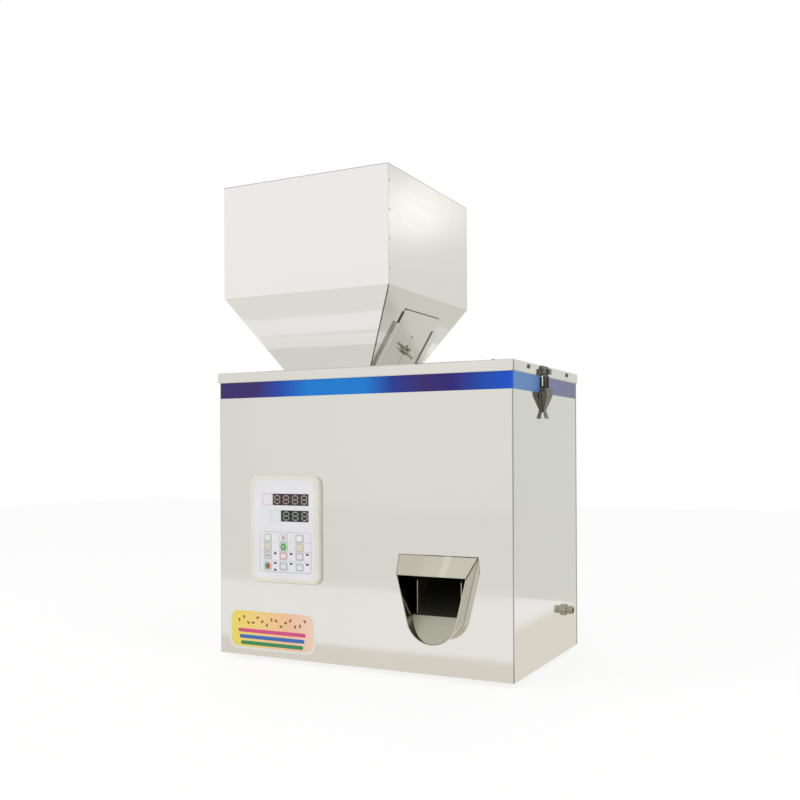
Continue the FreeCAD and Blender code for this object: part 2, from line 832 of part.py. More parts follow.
def gate_plate():
    z_low = outlet_z - gate_below_outlet
    z_high = lid_top + gate_top
    slab = gate_slab(gate_w / 2, slide_gap, gate_t, z_low, z_high)
    narrow = outlet_z + gate_taper_low
    wide = lid_top - gate_taper_high
    hw = gate_w / 2
    tw = gate_tongue_w / 2
    r = gate_corner_r
    outline = [(hw, wide), (hw, z_high - r), (hw - r, z_high), (-hw + r, z_high), (-hw, z_high - r),
               (-hw, wide), (-tw, narrow), (-tw, z_low - 5), (tw, z_low - 5), (tw, narrow)]
    loop = [(mid_y + y, z) for y, z in outline]
    plate = slab.common(prism_x(loop, -half_w, half_w))
    ends = [stud_at(0, gate_slot_up - gate_slot_w / 2), stud_at(0, -gate_slot_down + gate_slot_w / 2)]
    n = slope_normal()
    deep = 4 * gate_t
    tool = None
    for x, y, z in ends:
        far = (x + n[0] * deep, y, z + n[2] * deep)
        hole = faceted(gate_slot_w / 2, round_sides, (x - n[0], y, z - n[2]), far)
        tool = hole if tool is None else tool.fuse(hole)
    (xa, y, za), (xb, y, zb) = ends
    band = [(xa - n[0], za - n[2]), (xa + n[0] * deep, za + n[2] * deep),
            (xb + n[0] * deep, zb + n[2] * deep), (xb - n[0], zb - n[2])]
    half = gate_slot_w / 2 * math.cos(math.pi / round_sides)
    tool = tool.fuse(prism_y(band, mid_y - half, mid_y + half))
    return plate.cut(tool)


def wing_nut():
    low = gate_t + 3 * slide_gap
    base = V(0, 0, 0)
    shape = Part.makeCone(nut_hub_r, nut_hub_r * 0.8, nut_hub_h, base, V(0, 0, 1))
    for side in (-1, 1):
        x0 = side * nut_hub_r / 2
        x1 = side * wing_span / 2
        root = nut_hub_h - stud_root
        tip = [(x0, wing_foot), (side * nut_hub_r, wing_foot), (x1, wing_h - wing_tip_h),
               (x1, wing_h - wing_tip_drop), (x1 - side * wing_tip_w, wing_h),
               (side * nut_hub_r, root), (x0, root)]
        shape = shape.fuse(prism_y(tip, -wing_t / 2, wing_t / 2))
    shape = shape.cut(rod(stud_r + run_gap, (0, 0, -1), (0, 0, nut_hub_h + 1)))
    shape = shape.removeSplitter()
    shape.rotate(base, V(0, 0, 1), wing_turn)
    n = slope_normal()
    shape.rotate(base, V(0, 1, 0), math.degrees(math.atan2(n[0], n[2])))
    shape.translate(V(*stud_at(low)))
    return shape


# Spout
def spout_loop(top_w, top_z, low_w, low_z, floor_z, y, grow):
    z = foot_h
    a = V(spout_x - top_w / 2 - grow, y, z + top_z + grow)
    b = V(spout_x + top_w / 2 + grow, y, z + top_z + grow)
    c = V(spout_x + low_w / 2 + grow, y, z + low_z)
    d = V(spout_x, y, z + floor_z - grow)
    e = V(spout_x - low_w / 2 - grow, y, z + low_z)
    edges = [Part.makeLine(a, b), Part.makeLine(b, c), Part.Arc(c, d, e).toShape(), Part.makeLine(e, a)]
    return Part.Wire(edges)


def spout_back_loop(y, grow):
    return spout_loop(spout_back_w, spout_back_top, spout_back_low_w, spout_back_low,
                      spout_back_floor, y, grow)


def spout_front_loop(y, grow):
    return spout_loop(spout_front_w, spout_front_top, spout_front_low_w, spout_front_low,
                      spout_front_floor, y, grow)


def spout_opening(y0, y1, grow):
    return Part.Face(spout_back_loop(y0, grow)).extrude(V(0, y1 - y0, 0))


def spout():
    inside = front + sheet_t
    nose = front - spout_reach
    hood = Part.makeLoft([spout_front_loop(nose, 0.0), spout_back_loop(front, 0.0)], True, True)
    hollow = Part.makeLoft([spout_front_loop(nose, -hopper_t), spout_back_loop(front, -hopper_t)], True, True)
    outer = hood.fuse(spout_opening(front, inside + hopper_t, 0.0))
    outer = outer.fuse(spout_opening(inside, inside + hopper_t, spout_flange))
    inner = hollow.fuse(spout_opening(front, inside + hopper_t + 1, -hopper_t))
    return outer.cut(inner).removeSplitter()


# Chute under the bucket, with the ramp that shows in the spout's mouth
def chute_back_y():
    return mid_y + bucket_low_back + chute_behind


def chute_floor_z(y):
    rise = (bucket_low - chute_fall - foot_h - ramp_z) / (chute_back_y() - front)
    return foot_h + ramp_z + (y - front) * rise


def chute_half(y):
    near = spout_back_low_w / 2 - hopper_t - chute_side_gap
    far = bucket_low_w / 2 + chute_spread
    return near + (far - near) * (y - front) / (chute_back_y() - front)


def chute_tub(y0, y1):
    t = hopper_t
    tops = bucket_low - chute_below
    near = chute_half(y0)
    far = chute_half(y1)
    outline = [(spout_x - near, y0), (spout_x + near, y0), (spout_x + far, y1), (spout_x - far, y1)]
    room = [(spout_x - near + t, y0 - 1), (spout_x + near - t, y0 - 1),
            (spout_x + far - t, y1 - t), (spout_x - far + t, y1 - t)]
    side = [(y0, chute_floor_z(y0) - t), (y1, chute_floor_z(y1) - t), (y1, tops),
            (mid_y + bucket_front - chute_step, tops), (y0, chute_floor_z(y0) + chute_wall)]
    above = [(y0 - t, chute_floor_z(y0 - t)), (y1, chute_floor_z(y1)), (y1, tops + t), (y0 - t, tops + t)]
    tub = prism_z(outline, foot_h, tops).common(prism_x(side, -half_w, half_w))
    return tub.cut(prism_x(above, -half_w, half_w).common(prism_z(room, foot_h, tops + t)))


# Flat ramp in the spout, trimmed to its inside
def spout_ramp(y0):
    t = hopper_t
    nose = front - spout_reach
    end = nose + t
    under = 1.6 * t
    line = [(y0, chute_floor_z(y0)), (y0, chute_floor_z(y0) - t), (front, foot_h + ramp_z - under),
            (end, foot_h + ramp_end_z - under), (end, foot_h + ramp_end_z), (front, foot_h + ramp_z)]
    shrink = -t - run_gap
    trim = Part.makeLoft([spout_front_loop(nose, shrink), spout_back_loop(front, shrink)], True, True)
    trim = trim.fuse(spout_opening(front, y0 + 0.01, shrink))
    return prism_x(line, -half_w, half_w).common(trim)


def inner_chute():
    y0 = front + sheet_t + hopper_t + chute_gap
    return chute_tub(y0, chute_back_y()).fuse(spout_ramp(y0)).removeSplitter()


# Control panel
def panel_cutout():
    hw = overlay_w / 2 - cutout_rim
    hh = overlay_h / 2 - cutout_rim
    return block(panel_x - hw, panel_x + hw, front - 1, front + sheet_t + 1, panel_mid - hh, panel_mid + hh)


def key_places():
    left = panel_x - panel_w / 2 + key_left
    low = panel_mid - panel_h / 2
    rows = list(enumerate(key_rows))
    return [(row, col, left + col * key_pitch_x, low + up * panel_h) for row, up in rows for col in range(3)]


def lamp_places():
    places = []
    for row, col, x, z in key_places():
        if row == 2:
            places.append((x + lamp_dx, z + lamp_rise))
        if row == 3 and col == 0:
            places.append((x + lamp_dx, z + lamp_end_rise))
            places.append((x + lamp_dx, z - lamp_end_drop))
        if row == 3 and col > 0:
            places.append((x + lamp_dx, z + lamp_end_rise))
    return places


def display_spots():
    right = panel_x + panel_w / 2
    top = panel_mid + panel_h / 2
    return [(right - dx, top - down * panel_h, w, h) for dx, down, w, h in (big_display, small_display)]


def overlay_front():
    return front - panel_t


def bezel_floor():
    return overlay_front() + overlay_t


def key_holes(y0, y1, grow):
    tool = None
    for row, col, x, z in key_places():
        hw = key_w / 2 + grow
        hh = key_h / 2 + grow
        piece = pad(x - hw, x + hw, y0, y1, z - hh, z + hh, key_r)
        tool = piece if tool is None else tool.fuse(piece)
    return tool


def window_holes(y0, y1, grow):
    tool = None
    for x, z, w, h in display_spots():
        hw = w / 2 + grow
        hh = h / 2 + grow
        piece = block(x - hw, x + hw, y0, y1, z - hh, z + hh)
        tool = piece if tool is None else tool.fuse(piece)
    return tool


def lamp_holes(y0, y1, grow):
    tool = None
    for x, z in lamp_places():
        piece = block(x - lamp_w / 2 - grow, x + lamp_w / 2 + grow, y0, y1,
                      z - lamp_h / 2 - grow, z + lamp_h / 2 + grow)
        tool = piece if tool is None else tool.fuse(piece)
    return tool


def control_bezel():
    z = panel_mid
    y0 = overlay_front()
    body = rounded(panel_x - panel_w / 2, panel_x + panel_w / 2, y0, front,
                   z - panel_h / 2, z + panel_h / 2, panel_r, V(0, 1, 0))
    body = body.makeChamfer(panel_edge, [e for e in body.Edges if e.BoundBox.YMax < y0 + 0.01])
    body = body.cut(pad(panel_x - overlay_w / 2, panel_x + overlay_w / 2, y0 - 1, bezel_floor(),
                        z - overlay_h / 2, z + overlay_h / 2, overlay_r))
    hw = overlay_w / 2 - bezel_rim
    hh = overlay_h / 2 - bezel_rim
    body = body.cut(block(panel_x - hw, panel_x + hw, bezel_floor() + bezel_wall, front + 1, z - hh, z + hh))
    body = body.cut(key_holes(y0 - 1, front + 1, key_gap))
    body = body.cut(window_holes(y0 - 1, front + 1, 0.0))
    body = body.cut(lamp_holes(y0 - 1, front + 1, 0.0))
    for x, zz in board_posts():
        start = (x, bezel_floor() + bezel_wall / 2, zz)
        body = body.fuse(faceted(board_post_r, hole_sides, start, (x, board_front(), zz)))
    return body


def board_posts():
    hw = overlay_w / 2 - board_post_dx
    hh = overlay_h / 2 - board_post_dz
    return [(panel_x + sx * hw, panel_mid + sz * hh) for sx in (-1, 1) for sz in (-1, 1)]


def board_front():
    return front + sheet_t + board_gap


def panel_overlay():
    y0 = overlay_front()
    film = pad(panel_x - overlay_w / 2, panel_x + overlay_w / 2, y0, bezel_floor(),
               panel_mid - overlay_h / 2, panel_mid + overlay_h / 2, overlay_r)
    film = film.cut(key_holes(y0 - 1, front, key_gap))
    film = film.cut(window_holes(y0 - 1, front, 0.0))
    return film.cut(lamp_holes(y0 - 1, front, 0.0))


def display_windows():
    y0 = overlay_front() + window_sunk
    y1 = y0 + window_t
    return [block(x - w / 2, x + w / 2, y0, y1, z - h / 2, z + h / 2) for x, z, w, h in display_spots()]


def display_modules():
    y0 = overlay_front() + 2 * window_sunk + window_t
    made = []
    for x, z, w, h in display_spots():
        hw = w / 2 - module_gap
        hh = h / 2 - module_gap
        made.append(block(x - hw, x + hw, y0, board_front(), z - hh, z + hh))
    return made


def indicator_lamps():
    made = []
    for x, z in lamp_places():
        made.append(block(x - lamp_w / 2, x + lamp_w / 2, overlay_front(), board_front(),
                          z - lamp_h / 2, z + lamp_h / 2))
    return made


def one_key(x, z):
    y0 = overlay_front() - key_proud
    y1 = overlay_front() + key_depth
    key = pad(x - key_w / 2, x + key_w / 2, y0, y1, z - key_h / 2, z + key_h / 2, key_r)
    key = key.makeChamfer(key_edge, [e for e in key.Edges if e.BoundBox.YMax < y0 + 0.01])
    end = board_front() - switch_h - key_travel - switch_gap
    half = key_stem_w / 2
    return key.fuse(block(x - half, x + half, y0 + key_edge, end, z - half, z + half)).removeSplitter()


def panel_board():
    hw = overlay_w / 2 - panel_board_side
    hh = overlay_h / 2 - panel_board_end
    y0 = board_front()
    y1 = y0 + board_t
    z = panel_mid
    board = block(panel_x - hw, panel_x + hw, y0, y1, z - hh, z + hh)
    half = switch_w / 2
    for row, col, x, zz in key_places():
        board = board.fuse(block(x - half, x + half, y0 - switch_h, y0, zz - half, zz + half))
    chip = block(panel_x - chip_w / 2, panel_x + chip_w / 2, y1, y1 + chip_t, z - chip_h / 2, z + chip_h / 2)
    low = z - hh + plug_up
    plug = block(panel_x - plug_w / 2, panel_x + plug_w / 2, y1, y1 + plug_t, low, low + plug_h)
    return board.fuse(chip).fuse(plug)


# Latches, made on the right side
def latch_side(points, y0, y1):
    loop = [(half_w + s, pivot_z + z) for s, z in points]
    return prism_y(loop, y_latch + y0, y_latch + y1)


def latch_front(points, s0, s1):
    loop = [(y_latch + y, pivot_z + z) for y, z in points]
    return prism_x(loop, half_w + s0, half_w + s1)


def latch_rod(radius, s, z, y0, y1):
    x = half_w + s
    return faceted(radius, round_sides, (x, y_latch + y0, pivot_z + z), (x, y_latch + y1, pivot_z + z))


def lever_half(z):
    run = (lever_hw_top - lever_hw_neck) / (lever_top + lever_neck)
    return lever_hw_top - (lever_top - z) * run


def latch_lever():
    t = lever_t
    d = lever_depth
    right = [(lever_hw_top, lever_top), (lever_hw_neck, -lever_neck), (lever_hw_tail, -lever_tail)]
    outer = latch_front(right + [(-y, z) for y, z in reversed(right)], 0, d + lever_flare + 1)
    heel = pivot_out - lever_back
    end = -lever_tail
    n = lever_neck_out
    side = [(heel, lever_top), (d, lever_top), (d, -lever_knee), (n, -lever_neck),
            (n + lever_flare, end + 0.4 * t),
            (n + lever_flare - 0.7 * t, end - 0.4 * t), (n - t, -lever_neck - t / 2),
            (lever_waist, 2 * t - lever_neck), (heel + t / 10, -2 * lever_back), (heel, -lever_back + t / 2)]
    wide = lever_hw_top + 1
    body = outer.common(latch_side(side, -wide, wide))
    slant = t * lever_slant
    right = [(lever_hw_top - slant, lever_top + 1), (lever_hw_neck - slant + 0.4 * t, t - lever_neck)]
    pocket = latch_front(right + [(-y, z) for y, z in reversed(right)], 0, d - t)
    deep = t * math.hypot(1, (d - n) / (lever_neck - lever_knee))
    room = [(0, lever_top + 1), (d - t, lever_top + 1), (d - t, -lever_knee), (n - deep, -lever_neck),
            (0, -lever_neck)]
    body = body.cut(pocket.common(latch_side(room, -wide, wide)))
    reach = lever_half(-bail_pin_drop) - pin_end_gap
    body = body.fuse(latch_rod(bail_pin_r, bail_pin_out, -bail_pin_drop, -reach, reach))
    return body.cut(latch_rod(rivet_r + run_gap, pivot_out, 0, -wide, wide)).removeSplitter()


def latch_base():
    right = [(plate_hw, plate_high), (plate_hw, -plate_step), (plate_toe, -plate_low)]
    plate = latch_front(right + [(-y, z) for y, z in reversed(right)], 0, plate_t)
    turns = [math.radians(90 - 30 * i) for i in range(7)]
    nose = [(pivot_out + ear_r * math.cos(a), ear_r * math.sin(a)) for a in turns]
    ear = [(0, -ear_foot), (0, ear_top), (plate_t, ear_top)] + nose + [(plate_t, -ear_foot)]
    for y0 in (-plate_hw, plate_hw - ear_t):
        plate = plate.fuse(latch_side(ear, y0, y0 + ear_t))
    plate = plate.cut(latch_rod(rivet_r + run_gap, pivot_out, 0, -plate_hw - 1, plate_hw + 1))
    return plate.cut(m3_hole(latch_seats()[1], (1, 0, 0), 2 * plate_t)).removeSplitter()


def latch_rivets():
    reach = lever_half(0) + rivet_out
    inner = plate_hw - ear_t - rivet_in
    return [latch_rod(rivet_r, pivot_out, 0, -reach, -inner), latch_rod(rivet_r, pivot_out, 0, inner, reach)]


def latch_springs():
    s = bail_pin_out + 0.2
    x = half_w + s
    leg = bail_r - 0.1
    low = -bail_pin_drop + bail_pin_r + run_gap
    shape = latch_rod(bail_r, s, bail_up, -spring_y - bail_r, spring_y + bail_r)
    for side in (-1, 1):
        y = y_latch + side * spring_y
        shape = shape.fuse(faceted(leg, hole_sides, (x, y, pivot_z + low), (x, y, pivot_z + bail_up)))
        coil = faceted(spring_r, round_sides, (x, y, pivot_z + spring_low), (x, y, pivot_z + spring_high))
        shape = shape.fuse(coil)
    return shape.removeSplitter()


def latch_keeper():
    low = lip_low + keeper_low
    high = lip_low + keeper_high
    x0 = half_w + lip_out
    x1 = x0 + keeper_t
    plate = block(x0, x1, y_latch - keeper_w / 2, y_latch + keeper_w / 2, low, high)
    plate = plate.makeChamfer(keeper_corner, edges_along(plate, V(1, 0, 0)))
    shelf = pivot_z + bail_up - bail_r - run_gap
    t = keeper_t
    j = [(x0, shelf - t), (x1 + hook_gap + t, shelf - t), (x1 + hook_gap + t, shelf + hook_rise - 1),
         (x1 + hook_gap, shelf + hook_rise), (x1 + hook_gap, shelf), (x0, shelf)]
    plate = plate.fuse(prism_y(j, y_latch - hook_w / 2, y_latch + hook_w / 2)).removeSplitter()
    for seat in keeper_seats()[2:]:
        plate = plate.cut(m3_hole(seat, (1, 0, 0), 3))
    return plate


# Foot switch socket
def socket_centre():
    return (mid_y + socket_y, foot_h + socket_z)


def foot_switch_socket():
    y, z = socket_centre()
    wall = half_w - sheet_t
    tip = half_w + socket_out
    nut_face = half_w + socket_nut_t
    relief_end = nut_face + socket_relief
    body = faceted(socket_r + socket_shoulder, round_sides, (wall - socket_in, y, z), (wall, y, z))
    body = body.fuse(faceted(socket_r, round_sides, (wall - 1, y, z), (nut_face, y, z)))
    groove_r = socket_r - socket_undercut
    body = body.fuse(faceted(groove_r, round_sides, (nut_face - 1, y, z), (relief_end + 1, y, z)))
    body = body.fuse(rod(socket_r, (relief_end, y, z), (tip, y, z)))
    floor = tip - socket_bore
    body = body.cut(faceted(socket_bore_r, round_sides, (floor, y, z), (tip + 1, y, z)))
    half = socket_pin_w / 2
    for dy in (-socket_pin_off, socket_pin_off):
        for dz in (-socket_pin_off, socket_pin_off):
            body = body.fuse(block(floor - half, tip - socket_pin_sunk, y + dy - half, y + dy + half,
                                   z + dz - half, z + dz + half))
    return body.removeSplitter()


def socket_nut():
    y, z = socket_centre()
    r = socket_nut_af / 2 / math.cos(math.radians(30))
    end = half_w + socket_nut_t
    nut = faceted(r, 6, (half_w, y, z), (end, y, z))
    return nut.cut(faceted(socket_r + run_gap, round_sides, (half_w - 1, y, z), (end + 1, y, z)))


# Mains inlet
def power_inlet():
    z = foot_h + inlet_z
    face = back + rear_stand
    outer = rounded(inlet_x - inlet_w / 2, inlet_x + inlet_w / 2, back, face,
                    z - inlet_h / 2, z + inlet_h / 2, inlet_r, V(0, 1, 0))
    hw = inlet_body_w / 2
    hh = inlet_body_h / 2
    body = block(inlet_x - hw, inlet_x + hw, back - inlet_in, back + rear_stand / 2, z - hh, z + hh)
    outer = outer.fuse(body)
    zc = z + cavity_dz
    outer = outer.cut(block(inlet_x - cavity_w / 2, inlet_x + cavity_w / 2, face - cavity_depth, face + 1,
                            zc - cavity_h / 2, zc + cavity_h / 2))
    for dx, dz in ((-pin_pitch, -pin_h / 2), (0, pin_h / 2), (pin_pitch, -pin_h / 2)):
        x = inlet_x + dx
        outer = outer.fuse(block(x - pin_w / 2, x + pin_w / 2, face - cavity_depth - 1, face - pin_recess,
                                 zc + dz - pin_h / 2, zc + dz + pin_h / 2))
    zr = z + rocker_dz
    hw = rocker_w / 2 + rocker_gap
    hh = rocker_h / 2 + rocker_end_gap
    floor = face - rocker_depth - rocker_under
    outer = outer.cut(block(inlet_x - hw, inlet_x + hw, floor, face + 1, zr - hh, zr + hh))
    y = rocker_axis_y()
    pin = faceted(rocker_pin_r, round_sides, (inlet_x - hw - 0.5, y, zr), (inlet_x + hw + 0.5, y, zr))
    return outer.fuse(pin).removeSplitter()


def rocker_axis_y():
    return back + rear_stand - rocker_axis_in


def switch_rocker():
    z = foot_h + inlet_z + rocker_dz
    y = rocker_axis_y()
    h = rocker_h / 2 - rocker_end_gap * 0.6
    half = [(y - rocker_back, z - h * 0.55), (y + rocker_dip, z - h), (y + rocker_crest, z - h),
            (y + rocker_dip, z)]
    shape = prism_x(half + [(a, 2 * z - b) for a, b in reversed(half[:3])],
                    inlet_x - rocker_w / 2, inlet_x + rocker_w / 2)
    shape.rotate(V(inlet_x, y, z), V(1, 0, 0), -rocker_tilt)
    x0 = inlet_x - rocker_w
    x1 = inlet_x + rocker_w
    shape = shape.common(block(x0, x1, y - rocker_w, back + rear_stand, z - rocker_h, z + rocker_h))
    return shape.cut(faceted(rocker_pin_r + run_gap, round_sides, (x0, y, z), (x1, y, z)))


# Trough feeder
def leaf_way():
    a = math.radians(leaf_tilt)
    return (-math.sin(a), math.cos(a))


# Point on a spring's line, by its distance below the trough's underside
def leaf_point(x_top, down, off=0.0):
    ux, uz = leaf_way()
    return (x_top - ux * down + uz * off, trough_under - uz * down - ux * off)


def leaf_band(x_top, down0, down1, off0, off1, half_width):
    loop = [leaf_point(x_top, down0, off0), leaf_point(x_top, down0, off1),
            leaf_point(x_top, down1, off1), leaf_point(x_top, down1, off0)]
    return prism_y(loop, mid_y - half_width, mid_y + half_width)


def feeder_trough():
    x0 = trough_x0
    hw = trough_w / 2
    top = trough_floor + trough_wall
    tray = block(x0, trough_end, mid_y - hw, mid_y + hw, trough_under, top)
    tray = tray.cut(block(x0 + trough_t, trough_end + 1, mid_y - hw + trough_t, mid_y + hw - trough_t,
                          trough_floor, top + 1))
    corner = [(trough_end - trough_slant, top + 1), (trough_end + 1, top + 1),
              (trough_end + 1, trough_floor + trough_nose)]
    slant = prism_y(corner, mid_y - hw - 1, mid_y + hw + 1)
    tray = tray.cut(slant)
    for x_top in (feeder_left, feeder_right):
        foot = [leaf_point(x_top, 0, 0), leaf_point(x_top, bracket_h, 0),
                leaf_point(x_top, bracket_h, -bracket_toe), (x_top - bracket_l, trough_under)]
        tray = tray.fuse(prism_y(foot, mid_y - leaf_w / 2, mid_y + leaf_w / 2))
    plate = magnet_line() + magnet_gap
    arm = leaf_band(plate, 0, bracket_h + armature_reach, 0, armature_t, magnet_w / 2)
    return tray.fuse(arm).removeSplitter()


def magnet_line():
    return feeder_left + magnet_back


def feeder_leaf_springs():
    made = []
    for x_top in (feeder_left, feeder_right):
        made.append(leaf_band(x_top, leaf_gap, leaf_len, 0, leaf_t, leaf_w / 2))
    return made


def base_top():
    return trough_under - math.cos(math.radians(leaf_tilt)) * (leaf_len - leaf_clamp)


def base_under():
    return trough_under - math.cos(math.radians(leaf_tilt)) * (leaf_len + leaf_tail)


# Where a line beside a spring, off from it, is at a height
def leaf_x(x_top, z, off):
    a = math.radians(leaf_tilt)
    return x_top + math.tan(a) * (trough_under - z) + off / math.cos(a)


def leaf_quad(x_a, off_a, x_b, off_b, z0, z1, half_width):
    loop = [(leaf_x(x_a, z0, off_a), z0), (leaf_x(x_a, z1, off_a), z1),
            (leaf_x(x_b, z1, off_b), z1), (leaf_x(x_b, z0, off_b), z0)]
    return prism_y(loop, mid_y - half_width, mid_y + half_width)


def feeder_base():
    return leaf_quad(feeder_left, leaf_t, feeder_right, 0, base_under(), base_top(), base_w / 2)


# Electromagnet on the base, its pole face square to the motion
def feeder_magnet():
    line = magnet_line()
    high = trough_under - bracket_h - magnet_under
    return leaf_quad(line - magnet_l, 0, line, 0, base_top(), high, magnet_w / 2)


def base_feet():
    y = base_w / 2 - mount_r
    left = leaf_x(feeder_left, base_under(), leaf_t) + mount_r + mount_side
    right = leaf_x(feeder_right, base_under(), 0) - mount_r - mount_side
    return [(x, mid_y + dy) for x in (left, right) for dy in (-y, y)]


def feeder_mounts():
    z1 = base_under()
    return [faceted(mount_r, round_sides, (x, y, z1 - mount_h), (x, y, z1)) for x, y in base_feet()]


def feeder_stand():
    z1 = base_under() - mount_h
    xs = [x for x, y in base_feet()]
    x0 = min(xs) - mount_r - stand_margin
    x1 = max(xs) + mount_r + stand_margin
    hw = base_w / 2 + stand_margin
    table = block(x0, x1, mid_y - hw, mid_y + hw, floor_in, z1)
    table = table.cut(block(x0 + stand_t, x1 - stand_t, mid_y - hw - 1, mid_y + hw + 1,
                            floor_in + stand_t, z1 - stand_t))
    y0 = mid_y - hw
    y1 = mid_y + hw
    wide = block(x0 - 1, x1 + 1, y0 + stand_foot, y1 - stand_foot, floor_in + stand_t, z1 - stand_apron)
    arch = block(x0 + stand_leg, x1 - stand_leg, y0 - 1, y1 + 1, floor_in - 1, z1 - stand_t)
    return table.cut(wide).cut(arch)


# Weigh bucket
def bucket_shell(inset, z_low, z_high):
    share = (bucket_top - z_low) / bucket_h
    yb = mid_y + bucket_back - (bucket_back - bucket_low_back) * share
    hw = bucket_w / 2 - (bucket_w - bucket_low_w) / 2 * share
    top = (bucket_top - z_high) / bucket_h
    yt = mid_y + bucket_back - (bucket_back - bucket_low_back) * top
    tw = bucket_w / 2 - (bucket_w - bucket_low_w) / 2 * top
    yf = mid_y + bucket_front + inset
    i = inset
    side = prism_x([(yf, z_low), (yb - i, z_low), (yt - i, z_high), (yf, z_high)], 0, half_w)
    face = prism_y([(spout_x - hw + i, z_low), (spout_x + hw - i, z_low), (spout_x + tw - i, z_high),
                    (spout_x - tw + i, z_high)], front, back)
    return side.common(face)


def hinge_yz():
    return (mid_y + bucket_front - hinge_front, bucket_low - hinge_drop)


def ear_face_half():
    return bucket_low_w / 2 + bucket_ear_gap + bucket_ear_t


def weigh_bucket():
    t = hopper_t
    shape = bucket_shell(0, bucket_low, bucket_top).cut(bucket_shell(t, bucket_low - 1, bucket_top + 1))
    y, z = hinge_yz()
    for side in (-1, 1):
        x0 = spout_x + side * ear_face_half()
        x1 = x0 - side * bucket_ear_t
        far = mid_y + bucket_front + ear_back
        high = bucket_low + ear_high
        low = z - ear_chin
        outline = [(y - ear_nose, low), (y + ear_heel, low), (far, bucket_low + ear_foot_up),
                   (far, high), (y + ear_heel / 2, high), (y - ear_nose, z + ear_nose)]
        ear = prism_x(outline, min(x0, x1), max(x0, x1))
        shape = shape.fuse(ear.cut(bucket_shell(ear_shell_gap, bucket_low - 1, bucket_top)))
    return shape.cut(rod(shaft_r + run_gap, (0, y, z), (half_w, y, z))).removeSplitter()


def bucket_door():
    y, z = hinge_yz()
    top = bucket_low - door_gap
    hw = bucket_low_w / 2
    y0 = mid_y + bucket_front - door_over
    y1 = mid_y + bucket_low_back + door_over
    plate = block(spout_x - hw, spout_x + hw, y0, y1, top - door_t, top)
    hw = hw - knuckle_in
    knuckle = rod(shaft_r + knuckle_wall, (spout_x - hw, y, z), (spout_x + hw, y, z))
    rib = [(y, z - door_rib_foot), (y0 + door_rib, top - door_t), (y0 + door_rib, top - door_t / 3),
           (y0, top), (y, z + door_rib_head)]
    web = prism_x(rib, spout_x - hw, spout_x + hw)
    shape = plate.fuse(knuckle).fuse(web)
    return shape.cut(rod(shaft_r, (0, y, z), (half_w, y, z))).removeSplitter()


def door_shaft():
    y, z = hinge_yz()
    x0 = spout_x - bucket_low_w / 2 - shaft_end
    return rod(shaft_r, (x0, y, z), (motor_face() + motor_shaft, y, z))


def motor_face():
    return spout_x + ear_face_half() + ear_out


def dump_motor():
    y, z = hinge_yz()
    x0 = motor_face()
    body = rod(motor_r, (x0, y, z), (x0 + motor_l, y, z))
    seat = x0 - ear_out
    plate = block(seat, seat + motor_plate, y + plate_near, y + plate_far, z - plate_foot, z + plate_head)
    neck = block(seat, x0 + neck_in, y + plate_near + 0.5, y + neck_far, z - plate_foot, z + neck_far)
    shape = body.fuse(plate).fuse(neck)
    return shape.cut(rod(shaft_r + run_gap, (x0 - 1, y, z), (x0 + motor_bore, y, z))).removeSplitter()


# Load cell behind the bucket
def cell_front():
    return mid_y + bucket_back + cell_behind


def cell_low():
    return bucket_top - cell_down - cell_h


def load_cell():
    y0 = cell_front()
    z0 = cell_low()
    x0 = spout_x - cell_w / 2
    bar = block(x0, x0 + cell_w, y0, y0 + cell_l, z0, z0 + cell_h)
    mid = y0 + cell_l / 2
    z = z0 + cell_h / 2
    for y in (mid - cell_hole_r * 0.9, mid + cell_hole_r * 0.9):
        bar = bar.cut(rod(cell_hole_r, (x0 - 1, y, z), (x0 + cell_w + 1, y, z)))
    return bar


def load_cell_stand():
    y1 = cell_front() + cell_l
    z1 = cell_low() - cell_step
    x0 = spout_x - post_w / 2
    near = y1 - cell_end - seat_over
    top = block(x0, x0 + post_w, near, y1, z1 - post_t, z1)
    spacer = block(spout_x - cell_w / 2, spout_x + cell_w / 2, y1 - cell_end, y1, z1, z1 + cell_step)
    post = block(x0, x0 + post_w, y1 - post_t, y1, floor_in, z1)
    foot = block(x0, x0 + post_w, y1 - stand_toe, y1, floor_in, floor_in + post_t)
    shape = top.fuse(spacer).fuse(post).fuse(foot)
    brace = [(y1 - post_t, z1 - rib_gap), (near, z1 - rib_gap), (y1 - post_t, z1 - post_w)]
    for x in (x0, x0 + post_w - post_t):
        shape = shape.fuse(prism_x(brace, x, x + post_t))
    return shape.removeSplitter()


def bucket_arm():
    y0 = cell_front()
    z1 = cell_low() + cell_h
    x0 = spout_x - cell_w / 2 - arm_side
    x1 = spout_x + cell_w / 2 + arm_side
    top = block(x0, x1, y0 - arm_back, y0 + cell_end, z1, z1 + arm_t)
    # Cheek that lies on the bucket's sloping back
    rise = (bucket_back - bucket_low_back) / bucket_h
    zl = bucket_top - arm_drop
    yl = mid_y + bucket_back - rise * arm_drop
    yh = mid_y + bucket_back - rise * (bucket_top - z1 - arm_t)
    far = y0 - cheek_gap
    cheek = [(yl, zl), (yl + cheek_toe, zl), (far, z1 - cheek_under), (far, z1 + arm_t), (yh, z1 + arm_t)]
    return top.fuse(prism_x(cheek, x0, x1)).removeSplitter()


